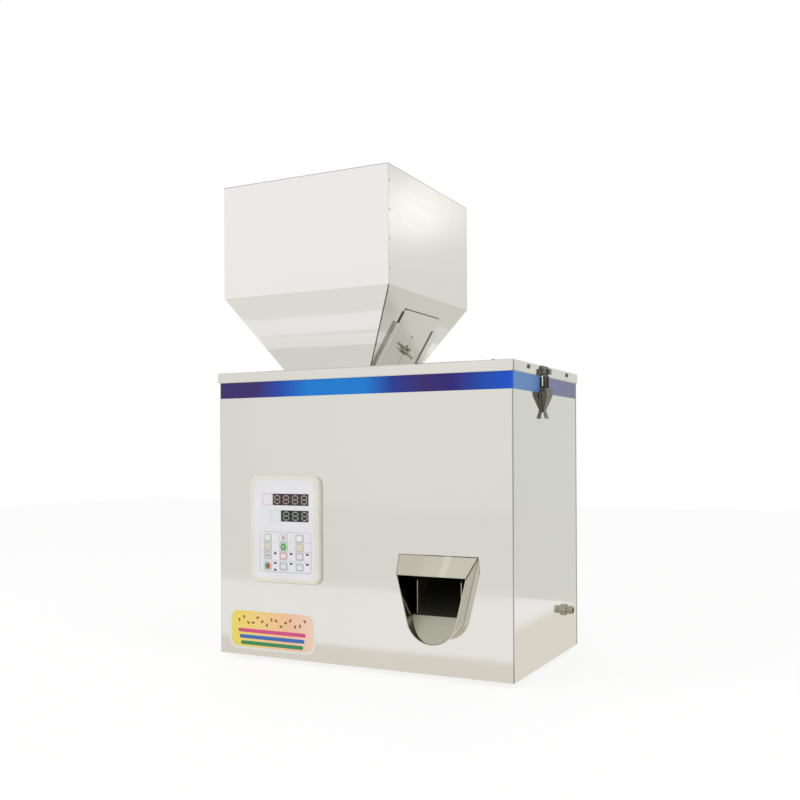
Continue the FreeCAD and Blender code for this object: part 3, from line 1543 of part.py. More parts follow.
# Control board on the base
def control_board():
    z0 = floor_in + pcb_rise
    z1 = z0 + board_t
    x0 = pcb_x - pcb_w / 2
    y0 = mid_y - pcb_d / 2
    board = block(x0, x0 + pcb_w, y0, y0 + pcb_d, z0, z1)
    for x in (x0 + standoff_in, x0 + pcb_w - standoff_in):
        for y in (y0 + standoff_in, y0 + pcb_d - standoff_in):
            board = board.fuse(faceted(standoff_r, hole_sides, (x, y, floor_in), (x, y, z0 + board_root)))
    for dx, dy, w, d, h in (big_coil, heat_sink, terminals):
        x = x0 + dx
        y = y0 + dy
        board = board.fuse(block(x - w / 2, x + w / 2, y - d / 2, y + d / 2, z1 - board_root, z1 + h))
    for dx, dy in capacitors:
        foot = (x0 + dx, y0 + dy, z1 - board_root)
        board = board.fuse(faceted(capacitor_r, round_sides, foot, (foot[0], foot[1], z1 + capacitor_h)))
    return board.removeSplitter()


save("cabinet_shell", [cabinet_shell()])
save("base_plate", [base_plate()])
save("rear_panel", [rear_panel()])
save("cabinet_screws", cabinet_screws())
save("rubber_feet", rubber_feet())
save("foot_screws", foot_screws())
save("lid", [lid()])
save("lid_screws", lid_screws())
front_sheet, rear_sheet, left_sheet, right_sheet = hopper_sheets()
save("hopper_front", [front_sheet])
save("hopper_rear", [rear_sheet])
save("hopper_left", [left_sheet])
save("hopper_right", [right_sheet.fuse(stud())])
save("gate_rails", gate_rails())
save("gate_plate", [gate_plate()])
save("wing_nut", [wing_nut()])
save("spout", [spout()])
save("inner_chute", [inner_chute()])
save("control_bezel", [control_bezel()])
save("panel_overlay", [panel_overlay()])
save("display_windows", display_windows())
save("display_modules", display_modules())
save("indicator_lamps", indicator_lamps())
for row, col, x, z in key_places():
    save("key_%d_%d" % (row + 1, col + 1), [one_key(x, z)])
save("panel_board", [panel_board()])
save("latch_bases", [latch_base(), mirrored(latch_base())])
save("latch_pins", latch_rivets() + [mirrored(pin) for pin in latch_rivets()])
save("right_latch_lever", [latch_lever()])
save("left_latch_lever", [mirrored(latch_lever())])
save("right_latch_springs", [latch_springs()])
save("left_latch_springs", [mirrored(latch_springs())])
save("latch_keepers", [latch_keeper(), mirrored(latch_keeper())])
save("foot_switch_socket", [foot_switch_socket()])
save("socket_nut", [socket_nut()])
save("power_inlet", [power_inlet()])
save("switch_rocker", [switch_rocker()])
save("feeder_stand", [feeder_stand()])
save("feeder_mounts", feeder_mounts())
save("feeder_base", [feeder_base()])
save("feeder_magnet", [feeder_magnet()])
save("feeder_leaf_springs", feeder_leaf_springs())
save("feeder_trough", [feeder_trough()])
save("weigh_bucket", [weigh_bucket()])
save("bucket_door", [bucket_door()])
save("door_shaft", [door_shaft()])
save("dump_motor", [dump_motor()])
save("load_cell", [load_cell()])
save("load_cell_stand", [load_cell_stand()])
save("bucket_arm", [bucket_arm()])
save("control_board", [control_board()])
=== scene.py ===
# %% [markdown]
# # A granule filling machine, dressed over its construction model
# The construction model already holds every sheet, screw and hinge at its real size.
# This notebook gives those pieces their finishes, and adds what is too fine for the
# construction model: printing, screw heads, display segments, spring coils and weld spots.

# %% Load the construction model
import json
import math

import bmesh
import bpy
from mathutils import Matrix, Vector


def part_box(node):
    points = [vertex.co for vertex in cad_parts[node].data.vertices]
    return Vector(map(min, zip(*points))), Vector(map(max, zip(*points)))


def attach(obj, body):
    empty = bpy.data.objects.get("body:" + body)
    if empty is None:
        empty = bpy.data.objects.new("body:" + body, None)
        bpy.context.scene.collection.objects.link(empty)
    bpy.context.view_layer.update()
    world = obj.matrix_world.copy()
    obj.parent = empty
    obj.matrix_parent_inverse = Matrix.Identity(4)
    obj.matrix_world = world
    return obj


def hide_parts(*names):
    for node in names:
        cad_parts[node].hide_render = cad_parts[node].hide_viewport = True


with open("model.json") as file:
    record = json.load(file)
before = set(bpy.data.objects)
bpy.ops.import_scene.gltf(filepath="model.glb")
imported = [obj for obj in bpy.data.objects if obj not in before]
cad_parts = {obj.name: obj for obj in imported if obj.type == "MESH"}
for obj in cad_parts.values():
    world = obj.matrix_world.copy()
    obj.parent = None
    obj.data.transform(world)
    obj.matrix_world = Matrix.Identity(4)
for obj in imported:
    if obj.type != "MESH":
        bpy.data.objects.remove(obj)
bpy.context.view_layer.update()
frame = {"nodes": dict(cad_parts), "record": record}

MM = 0.001

# %% [markdown]
# ## The camera
# The photograph was taken from the right of the front, at a little under half of the
# machine's height.
# The camera looks level, so the machine's upright edges stay upright in the picture,
# and the picture is shifted up instead of tilting the camera. A tilt would make the
# edges lean. The place and focal length were fitted to the cabinet's corners.

# %% Camera
CAMERA_AT = Vector((505.8, -1001.5, 235.4)) * MM
CAMERA_TURN = math.radians(26.67)
CAMERA_ROLL = math.radians(-0.29)
CAMERA_LENS = 43.07
CAMERA_SHIFT = 0.0655

bpy.ops.object.select_all(action="DESELECT")
bpy.ops.object.camera_add()
camera = bpy.context.object
camera.name = "photo_camera"
camera.data.lens = CAMERA_LENS
camera.data.sensor_width = 36.0
camera.data.shift_y = CAMERA_SHIFT
camera.data.clip_start = 0.05
turn = Matrix.Rotation(CAMERA_TURN, 4, "Z") @ Matrix.Rotation(math.pi / 2, 4, "X")
camera.matrix_world = Matrix.Translation(CAMERA_AT) @ turn @ Matrix.Rotation(CAMERA_ROLL, 4, "Z")
bpy.context.scene.camera = camera
bpy.context.scene.view_settings.view_transform = "Standard"
print("camera at", [round(v, 3) for v in CAMERA_AT])

# %% [markdown]
# ## Writing a finish as arithmetic
# A finish is a small network of nodes. Drawn by hand it is quick to read, but written
# out as links it is long. Here a socket is wrapped in a class that knows + - * /,
# so that `0.2 + 0.1 * grain` adds the Math nodes by itself. Numbers that are the same
# all over a surface stay on the shader, where any program can read them.


# %% Sockets that can be added and multiplied
class Value:
    def __init__(self, finish, socket):
        self.finish = finish
        self.socket = socket

    def _math(self, operation, first, second):
        return self.finish.node("Math", {"operation": operation}, {0: first, 1: second})

    def __add__(self, other):
        return self._math("ADD", self, other)

    def __radd__(self, other):
        return self._math("ADD", other, self)

    def __sub__(self, other):
        return self._math("SUBTRACT", self, other)

    def __rsub__(self, other):
        return self._math("SUBTRACT", other, self)

    def __mul__(self, other):
        return self._math("MULTIPLY", self, other)

    def __rmul__(self, other):
        return self._math("MULTIPLY", other, self)

    def __truediv__(self, other):
        return self._math("DIVIDE", self, other)

    def size(self):
        return self._math("ABSOLUTE", self, 0.0)

    def below(self, limit, soft):
        settings = {"interpolation_type": "SMOOTHSTEP"}
        ends = {"From Min": limit - soft, "From Max": limit + soft, "To Min": 1.0, "To Max": 0.0}
        return self.finish.node("MapRange", settings, {"Value": self, **ends})

    def above(self, limit, soft):
        return 1.0 - self.below(limit, soft)


class Finish:
    def __init__(self, name, **constants):
        self.material = bpy.data.materials.new(name)
        self.material.use_nodes = True
        self.tree = self.material.node_tree
        self.shader = self.tree.nodes["Principled BSDF"]
        self.coords = self.node("TexCoord", {}, {}, "Object")
        for socket, value in constants.items():
            self.shader.inputs[socket.replace("_", " ")].default_value = value

    def plug(self, socket, value):
        if isinstance(value, Value):
            self.tree.links.new(value.socket, socket)
        elif isinstance(value, (tuple, list)) and len(value) == 3 and socket.type == "RGBA":
            socket.default_value = (*value, 1.0)
        else:
            socket.default_value = value

    def node(self, kind, settings, sockets, out=0):
        made = self.tree.nodes.new("ShaderNode" + kind)
        for name, value in settings.items():
            if name == "stops":
                for k, (place, colour) in enumerate(value):
                    stop = made.color_ramp.elements[k] if k < 2 else made.color_ramp.elements.new(place)
                    stop.position = place
                    stop.color = (*colour, 1.0)
            else:
                setattr(made, name, value)
        for name, value in sockets.items():
            self.plug(made.inputs[name], value)
        return Value(self, made.outputs[out])

    def axis(self, letter):
        return self.node("SeparateXYZ", {}, {0: self.coords}, letter)

    def noise(self, scale, detail=2.0, stretch=(1.0, 1.0, 1.0)):
        place = self.node("Mapping", {}, {"Vector": self.coords, "Scale": stretch})
        return self.node("TexNoise", {}, {"Vector": place, "Scale": scale, "Detail": detail})

    def blend(self, share, first, second):
        sockets = {0: share, 6: first, 7: second}
        return self.node("Mix", {"data_type": "RGBA"}, sockets, 2)

    def ramp(self, share, stops):
        return self.node("ValToRGB", {"stops": stops}, {0: share})

    def bump(self, height, strength, distance):
        sockets = {"Height": height, "Strength": strength, "Distance": distance}
        self.plug(self.shader.inputs["Normal"], self.node("Bump", {}, sockets, "Normal"))

    def set(self, socket, value):
        self.plug(self.shader.inputs[socket], value)


print("finishes can be written as sums")

# %% [markdown]
# ## Stainless sheet
# The cabinet is bright rolled stainless sheet, used with the finish that it left the
# mill with. It reflects like a tired mirror: faint streaks along the rolling
# direction, slow cloudy changes of tone, and a surface that isn't quite flat, so that
# reflections waver. The streaks come from noise stretched along the sheet,
# the clouds from large noise, and the waver from a very shallow bump.


# %% Stainless sheet
def sheet_finish(name, colour, rough, stretch, waver):
    finish = Finish(name, Metallic=1.0)
    streaks = finish.noise(260.0, 3.0, stretch)
    clouds = finish.noise(7.0, 3.0)
    dull = tuple(0.9 * c for c in colour)
    finish.tone = finish.blend(0.65 * clouds + 0.2 * streaks, dull, colour)
    finish.set("Base Color", finish.tone)
    finish.set("Roughness", rough + 0.05 * streaks + 0.03 * clouds)
    finish.bump(clouds, waver, 0.004)
    return finish


def tint(finish, where, colour):
    finish.tone = finish.blend(where, finish.tone, colour)
    finish.set("Base Color", finish.tone)


FLAT_ROLL = (0.03, 0.03, 1.0)
UPRIGHT_ROLL = (1.0, 1.0, 0.03)
cabinet_steel = sheet_finish("bright_stainless", (0.80, 0.79, 0.755), 0.035, FLAT_ROLL, 0.05)
hopper_steel = sheet_finish("satin_stainless", (0.86, 0.85, 0.825), 0.10, FLAT_ROLL, 0.06)
spout_steel = sheet_finish("spout_stainless", (0.585, 0.565, 0.47), 0.10, UPRIGHT_ROLL, 0.08)
chute_steel = sheet_finish("chute_stainless", (0.46, 0.455, 0.37), 0.32, UPRIGHT_ROLL, 0.08)
gate_steel = sheet_finish("gate_stainless", (0.755, 0.75, 0.70), 0.15, UPRIGHT_ROLL, 0.05)
rail_steel = sheet_finish("rail_stainless", (0.80, 0.79, 0.76), 0.15, UPRIGHT_ROLL, 0.05)
sheets = (cabinet_steel, hopper_steel, spout_steel, chute_steel, gate_steel, rail_steel)
print("sheet finishes:", [sheet.material.name for sheet in sheets])

# %% [markdown]
# ## Dark lines where sheets end
# Bends and raw sheet edges look away from the bright room, and gaps lie in shade, so they
# get thin dark lines of painted dark reflection and painted shade. Each line is written as a
# distance in object coordinates: near zero on the line, and growing away from it. The lid
# stands out past the cabinet, so from its lower edge upwards the same distances are measured
# from the lid.

# %% Lines on the cabinet and lid
PAINTED_EDGE_SHADE = (0.13, 0.12, 0.10)
LID_REAR_SHARE = 1.75
shell_low, shell_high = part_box("cabinet_shell")
lid_low, lid_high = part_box("lid")

grown = (lid_high.x - shell_high.x) * cabinet_steel.axis("Z").above(lid_low.z, 0.05 * MM)
from_side = shell_high.x + grown - cabinet_steel.axis("X").size()
from_front = cabinet_steel.axis("Y") - shell_low.y + grown
# Painted dark reflection along the bends of the front corners of cabinet and lid.
tint(cabinet_steel, (from_side + from_front).below(1.35 * MM, 0.2 * MM), (0.34, 0.31, 0.26))
# Painted dark reflection on the side faces along the rear edge.
at_rear = (cabinet_steel.axis("Y") - LID_REAR_SHARE * grown).above(shell_high.y - 2.4 * MM, 0.3 * MM)
tint(cabinet_steel, from_side.below(0.6 * MM, 0.1 * MM) * at_rear, (0.20, 0.20, 0.19))
print("the lid stands out", round((lid_high.x - shell_high.x) / MM, 1), "mm")

# %% [markdown]
# ## Tones on the hopper
# Below its kink the hopper narrows towards the lid. The leaning faces are painted darker,
# with bands painted lighter and darker, whose borders waver a little: a painted reflection of
# the table and the room. The distance below the kink gives the bands, and the leaning faces'
# own places follow from it, so that the dark seam at the front right corner can lean with
# them. The rim shows the sheet's raw edge.

# %% Bands, seam and rim of the hopper
HOPPER_KINK = 414.5 * MM
SLOPE_X, SLOPE_Y = 0.6057, 0.6129
TOP_BAND_ENDS, LID_BAND_STARTS, LAST_BAND_STARTS = 31 * MM, 51 * MM, 63 * MM
box_front, box_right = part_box("hopper_front"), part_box("hopper_right")
hopper_front_y = box_front[0].y
HOPPER_RIGHT = box_front[1].x

under_kink = HOPPER_KINK - hopper_steel.axis("Z")
fall = 0.5 * (under_kink + under_kink.size())
behind_front = hopper_steel.axis("Y") - hopper_front_y - SLOPE_Y * fall
inside_right = HOPPER_RIGHT - SLOPE_X * fall - hopper_steel.axis("X")
sloping = under_kink.above(0.3 * MM, 0.3 * MM)
wavy_depth = under_kink + 10 * MM * hopper_steel.noise(9.0, 2.0)
# Painted reflection: the leaning faces darker all over, then bands lighter and darker by depth below the
# kink.
tint(hopper_steel, sloping, (0.79, 0.78, 0.76))
tint(hopper_steel, sloping * wavy_depth.above(LID_BAND_STARTS, 2 * MM), (0.965, 0.96, 0.945))
tint(hopper_steel, sloping * wavy_depth.above(LAST_BAND_STARTS, 1.5 * MM), (0.84, 0.83, 0.81))
tint(hopper_steel, sloping * wavy_depth.below(TOP_BAND_ENDS, 3 * MM), (0.71, 0.70, 0.655))
seam = (behind_front - 1.2 * MM).size() - 0.7 * MM * sloping
seam = seam.below(0.45 * MM, 0.2 * MM) * inside_right.below(0.6 * MM, 0.2 * MM)
tint(hopper_steel, seam * (0.4 + 0.6 * sloping), (0.08, 0.07, 0.055))
at_rim = hopper_steel.axis("Z").above(box_front[1].z - 0.8 * MM, 0.2 * MM)
tint(hopper_steel, at_rim, (0.42, 0.42, 0.41))
print("hopper's right side at", round(HOPPER_RIGHT / MM, 1), "mm")

# %% [markdown]
# ## Edges of the spout
# The spout's hood falls and narrows as it stands out from the cabinet. Its folded edges
# and its joint with the cabinet get dark lines of painted shade. The sheet is darker and
# yellower to the left, and a paler upright patch lies right of the middle.

# %% Lines on the spout
SPOUT_REACH, HOOD_NARROWS, HOOD_FALLS = 18 * MM, 5.8 * MM, 19 * MM
HOOD_HALF, HOOD_TOP = 45.15 * MM, 129 * MM
PATCH_AT, PATCH_HALF = 12 * MM, 4 * MM
spout_low, spout_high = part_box("spout")

out_share = (shell_low.y - spout_steel.axis("Y")) / SPOUT_REACH
sideways = spout_steel.axis("X") - (spout_low.x + spout_high.x) / 2
from_hood_side = HOOD_HALF - HOOD_NARROWS * out_share - sideways.size()
under_hood = HOOD_TOP - HOOD_FALLS * out_share - spout_steel.axis("Z")
on_edge = from_hood_side.below(1.0 * MM, 0.25 * MM) * under_hood.below(2.0 * MM, 0.4 * MM)
# Painted shade along the hood's folded edges and along its joint with the cabinet.
tint(spout_steel, on_edge, PAINTED_EDGE_SHADE)
tint(spout_steel, out_share.below(0.05, 0.015), PAINTED_EDGE_SHADE)
on_patch = (sideways - PATCH_AT).size().below(PATCH_HALF, 1 * MM) * under_hood.below(1.5 * MM, 0.3 * MM)
tint(spout_steel, 0.22 * on_patch, (0.86, 0.86, 0.80))
tint(spout_steel, 0.5 * sideways.below(-14 * MM, 10 * MM), (0.45, 0.44, 0.34))
print("spout", round((spout_high.x - spout_low.x) / MM, 1), "mm wide")

# %% [markdown]
# ## Edges of the gate and its rails
# The gate plate's top and front edges get dark lines of painted shade. Each rail is a strip
# with an outer and an inner wall, and both walls get thin grey lines of painted shade,
# mirrored about the gate's middle.

# %% Lines on the gate
RAIL_W = 12 * MM
gate_low, gate_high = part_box("gate_plate")
rails_low, rails_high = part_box("gate_rails")
gate_middle = (rails_low.y + rails_high.y) / 2
outer_wall = rails_high.y - gate_middle

# Painted shade along the gate plate's top and front edges.
tint(gate_steel, gate_steel.axis("Z").above(gate_high.z - 1.5 * MM, 0.3 * MM), PAINTED_EDGE_SHADE)
tint(gate_steel, gate_steel.axis("Y").below(gate_low.y + 1.3 * MM, 0.3 * MM), PAINTED_EDGE_SHADE)
from_middle = (rail_steel.axis("Y") - gate_middle).size()
# Painted shade along both walls of each rail.
for wall in (outer_wall, outer_wall - RAIL_W):
    tint(rail_steel, (from_middle - wall).size().below(0.4 * MM, 0.2 * MM), (0.36, 0.35, 0.31))
print("rails", round(2 * outer_wall / MM, 1), "mm over all")

# %% [markdown]
# ## Small metal parts
# Screws and latches are nickel plated steel that has gone slightly yellow, and dull in
# patches. Springs, zinc plated brackets and the load cell differ only in tone and grain.
# One function makes all of them, from a bright and a dull colour.


# %% Plated and bare metals
def plated_finish(name, bright, dull, rough, grain=900.0):
    finish = Finish(name, Metallic=1.0)
    patches = finish.noise(grain * 0.2, 4.0)
    fine = finish.noise(grain, 2.0)
    finish.set("Base Color", finish.blend(patches, dull, bright))
    finish.set("Roughness", rough + 0.18 * patches)
    finish.bump(fine, 0.08, 0.0004)
    return finish


latch_plate = plated_finish("latch_nickel", (0.20, 0.19, 0.145), (0.055, 0.05, 0.036), 0.18)
screw_plate = plated_finish("screw_nickel", (0.24, 0.22, 0.19), (0.07, 0.065, 0.055), 0.24)
socket_plate = plated_finish("socket_nickel", (0.62, 0.60, 0.50), (0.24, 0.23, 0.18), 0.16)
spring_plate = plated_finish("spring_steel", (0.46, 0.46, 0.46), (0.28, 0.28, 0.29), 0.28)
zinc_finish = plated_finish("zinc_plate", (0.66, 0.67, 0.68), (0.48, 0.49, 0.52), 0.32, 500.0)
cell_metal = plated_finish("machined_aluminium", (0.78, 0.79, 0.80), (0.66, 0.67, 0.69), 0.30, 1600.0)
print("plated finishes ready")

# %% [markdown]
# ## Moulded and coated parts
# Plastic, rubber and painted castings show no bare metal, so their look lies in the
# grain of the surface: a fine leather-like pattern on moulded plastic, a coarser one on
# rubber, and orange peel on paint. The colour varies only a little, as dust and
# handling leave it.


# %% Moulded and coated finishes
def moulded_finish(name, colour, rough, grain, depth, coat=0.0):
    finish = Finish(name, Coat_Weight=coat)
    tone = finish.noise(40.0, 3.0)
    skin = finish.noise(grain, 3.0)
    darker = tuple(0.86 * c for c in colour)
    finish.set("Base Color", finish.blend(tone, darker, colour))
    finish.set("Roughness", rough + 0.12 * skin)
    finish.bump(skin, depth, 0.0006)
    return finish


bezel_finish = moulded_finish("cream_plastic", (0.785, 0.76, 0.66), 0.32, 2200.0, 0.05)
rubber_finish = moulded_finish("black_rubber", (0.035, 0.035, 0.035), 0.62, 1500.0, 0.25)
inlet_finish = moulded_finish("black_plastic", (0.03, 0.03, 0.032), 0.38, 2600.0, 0.12)
iron_finish = moulded_finish("painted_casting", (0.16, 0.19, 0.22), 0.42, 420.0, 0.45)
coil_finish = moulded_finish("potted_coil", (0.06, 0.06, 0.065), 0.46, 700.0, 0.2)
motor_finish = moulded_finish("motor_case", (0.24, 0.25, 0.26), 0.40, 900.0, 0.15)
board_finish = moulded_finish("circuit_board", (0.03, 0.20, 0.08), 0.36, 1100.0, 0.12, 0.2)
film_finish = moulded_finish("printed_film", (0.80, 0.80, 0.84), 0.34, 3000.0, 0.04)
lamp_finish = moulded_finish("lamp_lens", (0.02, 0.015, 0.02), 0.18, 900.0, 0.02, 0.4)
module_finish = moulded_finish("display_block", (0.016, 0.012, 0.013), 0.42, 1400.0, 0.05)
print("moulded finishes ready")

# %% [markdown]
# ## Tinted display windows
# Each display sits behind a clear window tinted with the colour that it lights up in:
# dark red over the upper one, dark green over the lower one. Both windows belong to one
# node, so the finish changes colour by height.

# %% Display windows
UPPER_TINT = (0.10, 0.045, 0.045)
LOWER_TINT = (0.03, 0.045, 0.036)
window_low, window_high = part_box("display_windows")
between_windows = (window_low.z + window_high.z) / 2
window_finish = Finish("tinted_window", Alpha=0.42, Roughness=0.08)
upper_share = window_finish.axis("Z").above(between_windows, 0.5 * MM)
window_finish.set("Base Color", window_finish.blend(upper_share, LOWER_TINT, UPPER_TINT))
print("windows change tint at", round(between_windows / MM, 1), "mm")

# %% [markdown]
# ## Giving the finishes to the construction pieces
# A construction piece keeps its mesh and only gets a material. The record already
# groups the pieces by material slot, so a table from slot to finish does for most. A few
# pieces look different from the rest of their slot, and have a finish of their own.

# %% Finishes by slot
SLOT_FINISH = {
    "stainless": cabinet_steel, "hopper_sheet": hopper_steel, "spout_sheet": spout_steel,
    "screw_steel": screw_plate, "latch_steel": latch_plate, "rubber": rubber_finish,
    "bezel_plastic": bezel_finish, "panel_film": film_finish, "key_film": film_finish,
    "display_window": window_finish, "display_black": module_finish, "lamp_lens": lamp_finish,
    "circuit_board": board_finish, "socket_nickel": socket_plate, "inlet_plastic": inlet_finish,
    "spring_steel": spring_plate, "feeder_iron": iron_finish, "magnet_resin": coil_finish,
    "zinc_plate": zinc_finish, "motor_case": motor_finish, "cell_aluminium": cell_metal,
}
OWN_FINISH = {
    "gate_plate": gate_steel, "gate_rails": rail_steel, "wing_nut": socket_plate,
    "inner_chute": chute_steel,
}


def wear(piece, finish):
    piece.data.materials.clear()
    piece.data.materials.append(finish.material)


for part in frame["record"]["subparts"]:
    node = part["node"]
    wear(frame["nodes"][node], OWN_FINISH.get(node, SLOT_FINISH[part["material_slot"]]))

# %% [markdown]
# ## Starting and finishing a new piece
# Operators act on whatever is selected, so each piece starts by clearing the selection.
# When it is done, its place goes into its mesh and its object returns to the origin,
# as the construction pieces have it. Then a pattern and a hinge both find it in place.


# %% Helpers for new pieces
def clear_selection():
    if bpy.context.object and bpy.context.object.mode != "OBJECT":
        bpy.ops.object.mode_set(mode="OBJECT")
    bpy.ops.object.select_all(action="DESELECT")


def pick(piece):
    clear_selection()
    piece.select_set(True)
    bpy.context.view_layer.objects.active = piece


def apply_place():
    bpy.ops.object.transform_apply(location=True, rotation=True, scale=True)


def edit_all():
    bpy.ops.object.mode_set(mode="EDIT")
    bpy.ops.mesh.select_all(action="SELECT")


def settle(piece, name, body, finish):
    pick(piece)
    apply_place()
    piece.name = name
    piece.data.name = name
    wear(piece, finish)
    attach(piece, body)
    piece.select_set(False)
    return piece


def join(pieces):
    clear_selection()
    for piece in pieces:
        piece.select_set(True)
    bpy.context.view_layer.objects.active = pieces[0]
    bpy.ops.object.join()
    return pieces[0]


def outward(piece):
    pick(piece)
    edit_all()
    bpy.ops.mesh.remove_doubles(threshold=1e-6)
    bpy.ops.mesh.normals_make_consistent(inside=False)
    bpy.ops.object.mode_set(mode="OBJECT")


print("helpers ready")

# %% [markdown]
# ## Flat cards
# Labels, printed frames and key symbols are all thin cards that face the front.
# A card is a plane turned upright, its corners rounded by a vertex bevel, and drawn out
# to its thickness. A frame is the same card with an inset middle taken away first. Discs
# and rings are made in the same way, from a filled circle.


# %% Cards, frames and discs
def draw_out(piece, thick, line):
    if line:
        bpy.ops.mesh.inset(thickness=line, depth=0.0)
        bpy.ops.mesh.delete(type="FACE")
        bpy.ops.mesh.select_all(action="SELECT")
    bpy.ops.mesh.extrude_region_move(TRANSFORM_OT_translate={"value": (0, -thick, 0)})
    bpy.ops.object.mode_set(mode="OBJECT")
    outward(piece)
    return piece


def card(centre, width, height, corner, thick, line=None, segments=5):
    clear_selection()
    bpy.ops.mesh.primitive_plane_add(size=1.0, location=centre, rotation=(math.pi / 2, 0, 0))
    piece = bpy.context.object
    piece.scale = (width, height, 1.0)
    apply_place()
    edit_all()
    if corner:
        bpy.ops.mesh.bevel(offset=corner, offset_type="OFFSET", segments=segments, affect="VERTICES")
        bpy.ops.mesh.select_all(action="SELECT")
    return draw_out(piece, thick, line)


def disc(centre, radius, thick, hole=0.0, sides=32):
    clear_selection()
    bpy.ops.mesh.primitive_circle_add(vertices=sides, radius=radius, fill_type="NGON", location=centre,
                                      rotation=(math.pi / 2, 0, 0))
    piece = bpy.context.object
    apply_place()
    edit_all()
    return draw_out(piece, thick, radius - hole if hole else None)


def ink(name, colour):
    return moulded_finish(name, colour, 0.34, 3000.0, 0.03)


print("cards ready")

# %% [markdown]
# ## Display segments
# An unlit seven-segment display shows its segments as grey bars on black. They could be
# painted in the window's finish, but bars that stand on the window's face keep their
# sharp ends. A digit is built from seven small cards: three level ones, and two
# pairs of upright ones between them.

# %% Unlit digits
SEGMENT_LINE = 1.5 * MM
SEGMENT_CORNER = 0.3 * SEGMENT_LINE
SEGMENT_THICK = 0.05 * MM
DIGIT_W, DIGIT_H = 6.6 * MM, 8.8 * MM
segment_ink = ink("segment_grey", (0.30, 0.30, 0.28))
window_front = window_low.y


def digit(centre):
    half_w, half_h = DIGIT_W / 2, DIGIT_H / 2
    level_bar = (DIGIT_W - 1.4 * SEGMENT_LINE, SEGMENT_LINE)
    upright_bar = (SEGMENT_LINE, half_h - 0.6 * SEGMENT_LINE)
    places = [(0, level, level_bar) for level in (-1, 0, 1)]
    places += [(side, level, upright_bar) for side in (-1, 1) for level in (-0.5, 0.5)]
    bars = []
    for side, level, (width, height) in places:
        at = centre + Vector((side * half_w, 0, level * half_h))
        bars.append(card(at, width, height, SEGMENT_CORNER, SEGMENT_THICK))
    return bars


def digit_row(name, centre_x, centre_z, count, pitch):
    bars = []
    for k in range(count):
        x = centre_x + (k - (count - 1) / 2) * pitch
        bars += digit(Vector((x, window_front, centre_z)))
    settle(join(bars), name, "cabinet", segment_ink)
    print(name, count, "digits")


print("a digit is", round(DIGIT_W / MM, 1), "x", round(DIGIT_H / MM, 1), "mm")

# %% Two rows of digits
UPPER_WINDOW_H, LOWER_WINDOW_H = 13.0 * MM, 12.5 * MM
LOWER_WINDOW_W = 36.2 * MM
LOWER_ROW_SHIFT = 0.8 * MM
UPPER_PITCH, LOWER_PITCH = 11.8 * MM, 12.0 * MM
upper_x = (window_low.x + window_high.x) / 2
upper_z = window_high.z - UPPER_WINDOW_H / 2
lower_x = window_high.x - LOWER_WINDOW_W / 2 + LOWER_ROW_SHIFT
lower_z = window_low.z + LOWER_WINDOW_H / 2
digit_row("upper_segments", upper_x, upper_z, 4, UPPER_PITCH)
digit_row("lower_segments", lower_x, lower_z, 3, LOWER_PITCH)

# %% [markdown]
# ## Printing on the keypad film
# The film carries coloured hairlines: a frame round the keys that fades from pink at
# its top to grey at its bottom, thin lines between the rows, and a small box beside each
# display. Screen printing stands a little proud of its film, so the hairlines are
# thin cards and not paint in the material.

# %% Hairlines
film_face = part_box("panel_overlay")[0].y
PRINT_THICK = 0.06 * MM
HAIRLINE = 0.55 * MM
key_boxes = {"key_%d_%d" % (r, c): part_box("key_%d_%d" % (r, c)) for r in range(1, 5) for c in range(1, 4)}
FRAME_LEFT, FRAME_RIGHT, FRAME_OVER, FRAME_UNDER = 5.7 * MM, 9.9 * MM, 2.6 * MM, 2.4 * MM
block_left = key_boxes["key_1_1"][0].x - FRAME_LEFT
block_right = key_boxes["key_1_3"][1].x + FRAME_RIGHT
block_top = key_boxes["key_1_1"][1].z + FRAME_OVER
block_low = key_boxes["key_4_1"][0].z - FRAME_UNDER


def faded_ink(name, low_z, high_z, low_colour, high_colour):
    finish = Finish(name, Roughness=0.36)
    share = (finish.axis("Z") - low_z) / (high_z - low_z)
    finish.set("Base Color", finish.blend(share, low_colour, high_colour))
    return finish


frame_ink = faded_ink("frame_ink", block_low, block_top, (0.34, 0.38, 0.40), (0.72, 0.40, 0.50))
middle = Vector(((block_left + block_right) / 2, film_face, (block_low + block_top) / 2))
wide = block_right - block_left
frame_line = card(middle, wide, block_top - block_low, 2.5 * MM, PRINT_THICK, line=HAIRLINE)
settle(frame_line, "key_frame", "cabinet", frame_ink)

row_lines = []
for upper, lower in ((1, 2), (2, 3), (3, 4)):
    top_key = key_boxes["key_%d_1" % upper][0].z
    low_key = key_boxes["key_%d_1" % lower][1].z
    at = Vector((middle.x, film_face, (top_key + low_key) / 2))
    row_lines.append(card(at, wide - 2 * HAIRLINE, HAIRLINE * 0.7, 0.0, PRINT_THICK))
pale_ink = ink("pale_grey_ink", (0.52, 0.54, 0.57))
settle(join(row_lines), "row_lines", "cabinet", pale_ink)

BOX_W, BOX_H, BOX_GAP = 13.6 * MM, 13.2 * MM, 0.4 * MM


def display_box(name, window_left, z, box_ink):
    at = Vector((window_left - BOX_GAP - BOX_W / 2, film_face, z))
    box = card(at, BOX_W, BOX_H, 1.4 * MM, PRINT_THICK, line=HAIRLINE)
    settle(box, name, "cabinet", box_ink)


display_box("upper_box", window_low.x, upper_z, ink("pink_ink", (0.70, 0.36, 0.40)))
display_box("lower_box", window_high.x - LOWER_WINDOW_W, lower_z, ink("pale_green_ink", (0.52, 0.66, 0.54)))
print("key block", round(wide / MM, 1), "x", round((block_top - block_low) / MM, 1), "mm")

# %% [markdown]
# ## Key colours and symbols
# Each key is a printed pad in a colour of its own, with a rim and a plain symbol: a
# disc, a ring, an outline or a bar. A symbol rides on its own key, so that it goes in
# with the key when it is pressed.

